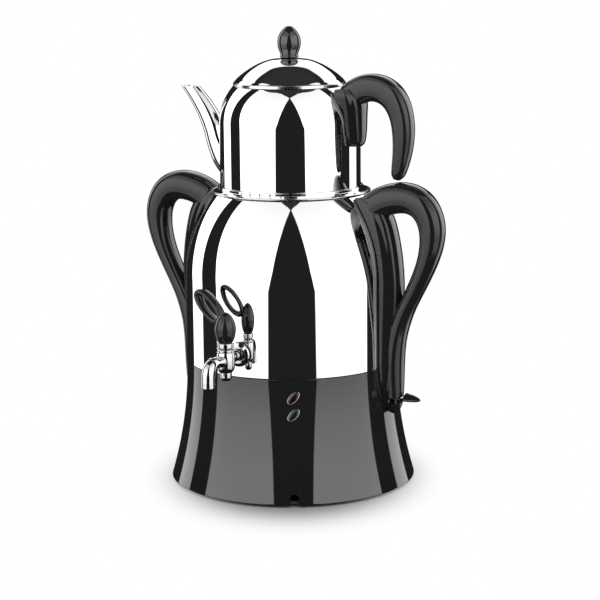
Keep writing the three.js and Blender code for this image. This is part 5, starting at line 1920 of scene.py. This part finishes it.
@dataclass
class Studio:
    """The floor, the light, the panels that polished metal shows and the camera, with lengths in metres."""

    # The camera: angles in degrees, lens and sensor in millimetres
    azimuth: float = 28.6
    distance: float = 1.692
    height: float = 0.4823
    pitch: float = 10.729
    roll: float = 0.565
    lens: float = 114.33
    sensor: float = 36
    shift: float = 0.01393
    # The even light that all but mirrors see, and the least that a root is taken of
    fill: float = 0.86
    least: float = 0.0001
    # The floor with a soft shadow painted into its colour, which is longer than it is wide, and the distances
    # over which it fades
    floor_radius: float = 4
    floor_corners: int = 96
    painted_shadow_shape: Row = (1, 0.7, 1)
    painted_shadow_greys: Row = (0.34, 0.9)
    painted_shadow_edge: Row = (0.073, 0.14)
    white_edge: Row = (0.075, 0.146)
    # The lamp overhead
    lamp_size: float = 1.2
    lamp_energy: float = 5
    lamp_place: Row = (0.1, -0.25, 1.5)
    lamp_tilt: float = -9

    def axes(self) -> tuple[Vector, Vector, Vector]:
        """Works out the camera's directions without its roll.

        Returns:
            Right, up and forward.
        """
        turn, pitch = math.radians(self.azimuth), math.radians(self.pitch)
        level = math.cos(pitch)
        ahead = Vector((-math.sin(turn) * level, math.cos(turn) * level, -math.sin(pitch)))
        right = Vector((math.cos(turn), math.sin(turn), 0))
        return right, right.cross(ahead), ahead

    def camera(self) -> None:
        """Adds the camera."""
        right, up, ahead = self.axes()
        roll = math.radians(self.roll)
        across = right * math.cos(roll) - up * math.sin(roll)
        above = right * math.sin(roll) + up * math.cos(roll)
        turn = math.radians(self.azimuth)
        place = Vector((self.distance * math.sin(turn), -self.distance * math.cos(turn), self.height))
        data = bpy.data.cameras.new("camera")
        data.lens = self.lens
        data.sensor_width = self.sensor
        data.shift_x = self.shift
        item = bpy.data.objects.new("camera", data)
        item.matrix_world = Matrix.Translation(place) @ Matrix((across, above, -ahead)).transposed().to_4x4()
        bpy.context.collection.objects.link(item)
        bpy.context.scene.camera = item

    def world(self) -> None:
        """Lights the scene evenly and gives polished metal its panels."""
        world = bpy.data.worlds.new("studio")
        bpy.context.scene.world = world
        world.cycles.sampling_method = "NONE"
        graph = Graph(world)
        where = graph.node("ShaderNodeTexCoord", output="Generated")
        turn = math.radians(self.azimuth)
        facing = {0: where, 1: (math.sin(turn), -math.cos(turn), 0)}
        front = graph.node("ShaderNodeVectorMath", {"operation": "DOT_PRODUCT"}, facing, "Value")
        rise = graph.node("ShaderNodeSeparateXYZ", None, {0: where}, "Z")
        level = (1 - rise * rise).most(self.least) ** 0.5
        across, lift = (front / level).arc("ARCCOSINE"), rise.arc("ARCSINE")
        light = graph.blend(graph.ray("Is Glossy Ray"), grey(self.fill), Panels().light(across, lift))
        tone = graph.blend(graph.ray("Is Camera Ray"), light, grey(1.0))
        background = graph.node("ShaderNodeBackground", None, {"Color": tone, "Strength": 1.0})
        graph.close(background, "ShaderNodeOutputWorld")

    def paper(self) -> Material:
        """Builds the floor's material, with a shadow painted darker near the object and white beyond, which
        mirrors don't show.

        Returns:
            The material.
        """
        material = bpy.data.materials.new("pale_floor")
        graph = Graph(material)
        where = graph.node("ShaderNodeTexCoord", output="Object")
        values = {"Vector": where, "Rotation": (0, 0, -math.radians(self.azimuth))}
        level = graph.node("ShaderNodeMapping", None, values)
        oval = graph.node("ShaderNodeVectorMath", {"operation": "MULTIPLY"}, {0: level, 1: self.painted_shadow_shape})
        near = graph.node("ShaderNodeVectorMath", {"operation": "LENGTH"}, {0: oval}, "Value")
        # Painted shadow: the floor's colour goes from a dark grey near the object to a pale grey further out,
        # and camera rays see less of the white glow there.
        dark, pale = self.painted_shadow_greys
        shade = graph.blend(near.step(*self.painted_shadow_edge), grey(dark), grey(pale))
        paper = graph.node("ShaderNodeBsdfDiffuse", None, {"Color": shade})
        white = graph.node("ShaderNodeEmission", None, {"Color": grey(1.0), "Strength": 1.0})
        share = graph.ray("Is Camera Ray") * near.step(*self.white_edge)
        lit = graph.node("ShaderNodeMixShader", None, {0: share, 1: paper, 2: white})
        clear = graph.node("ShaderNodeBsdfTransparent")
        mirrors = graph.ray("Is Glossy Ray")
        graph.close(graph.node("ShaderNodeMixShader", None, {0: mirrors, 1: lit, 2: clear}))
        return material

    def floor(self) -> None:
        """Lays the pale floor."""
        rest()
        bpy.ops.mesh.primitive_circle_add(
            vertices=self.floor_corners, radius=self.floor_radius, fill_type="NGON"
        )
        item = bpy.context.object
        item.name = "studio_floor"
        item.data.materials.append(self.paper())

    def lamp(self) -> None:
        """Hangs one large soft lamp over the object, which mirrors don't show."""
        data = bpy.data.lights.new("soft_top", "AREA")
        data.shape = "DISK"
        data.size = self.lamp_size
        data.energy = self.lamp_energy
        item = bpy.data.objects.new("soft_top", data)
        item.location = self.lamp_place
        item.rotation_euler = (math.radians(self.lamp_tilt), 0, 0)
        item.visible_glossy = False
        bpy.context.collection.objects.link(item)

    def build(self) -> None:
        """Sets up the whole studio."""
        bpy.context.scene.view_settings.view_transform = "Standard"
        self.camera()
        self.world()
        self.floor()
        self.lamp()


def main() -> None:
    """Builds the samovar on its frame and sets the studio round it."""
    logging.basicConfig(level=logging.INFO, format="%(name)s: %(message)s")
    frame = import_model()
    for part in (Studio(), Base(), Tank(), TankHandles(), HeatLever(), Tap(), Teapot()):
        LOG.info("building %s", type(part).__name__)
        part.build()
    InnerWorks().dress(frame["nodes"])
    rest()


if __name__ == "__main__":
    main()
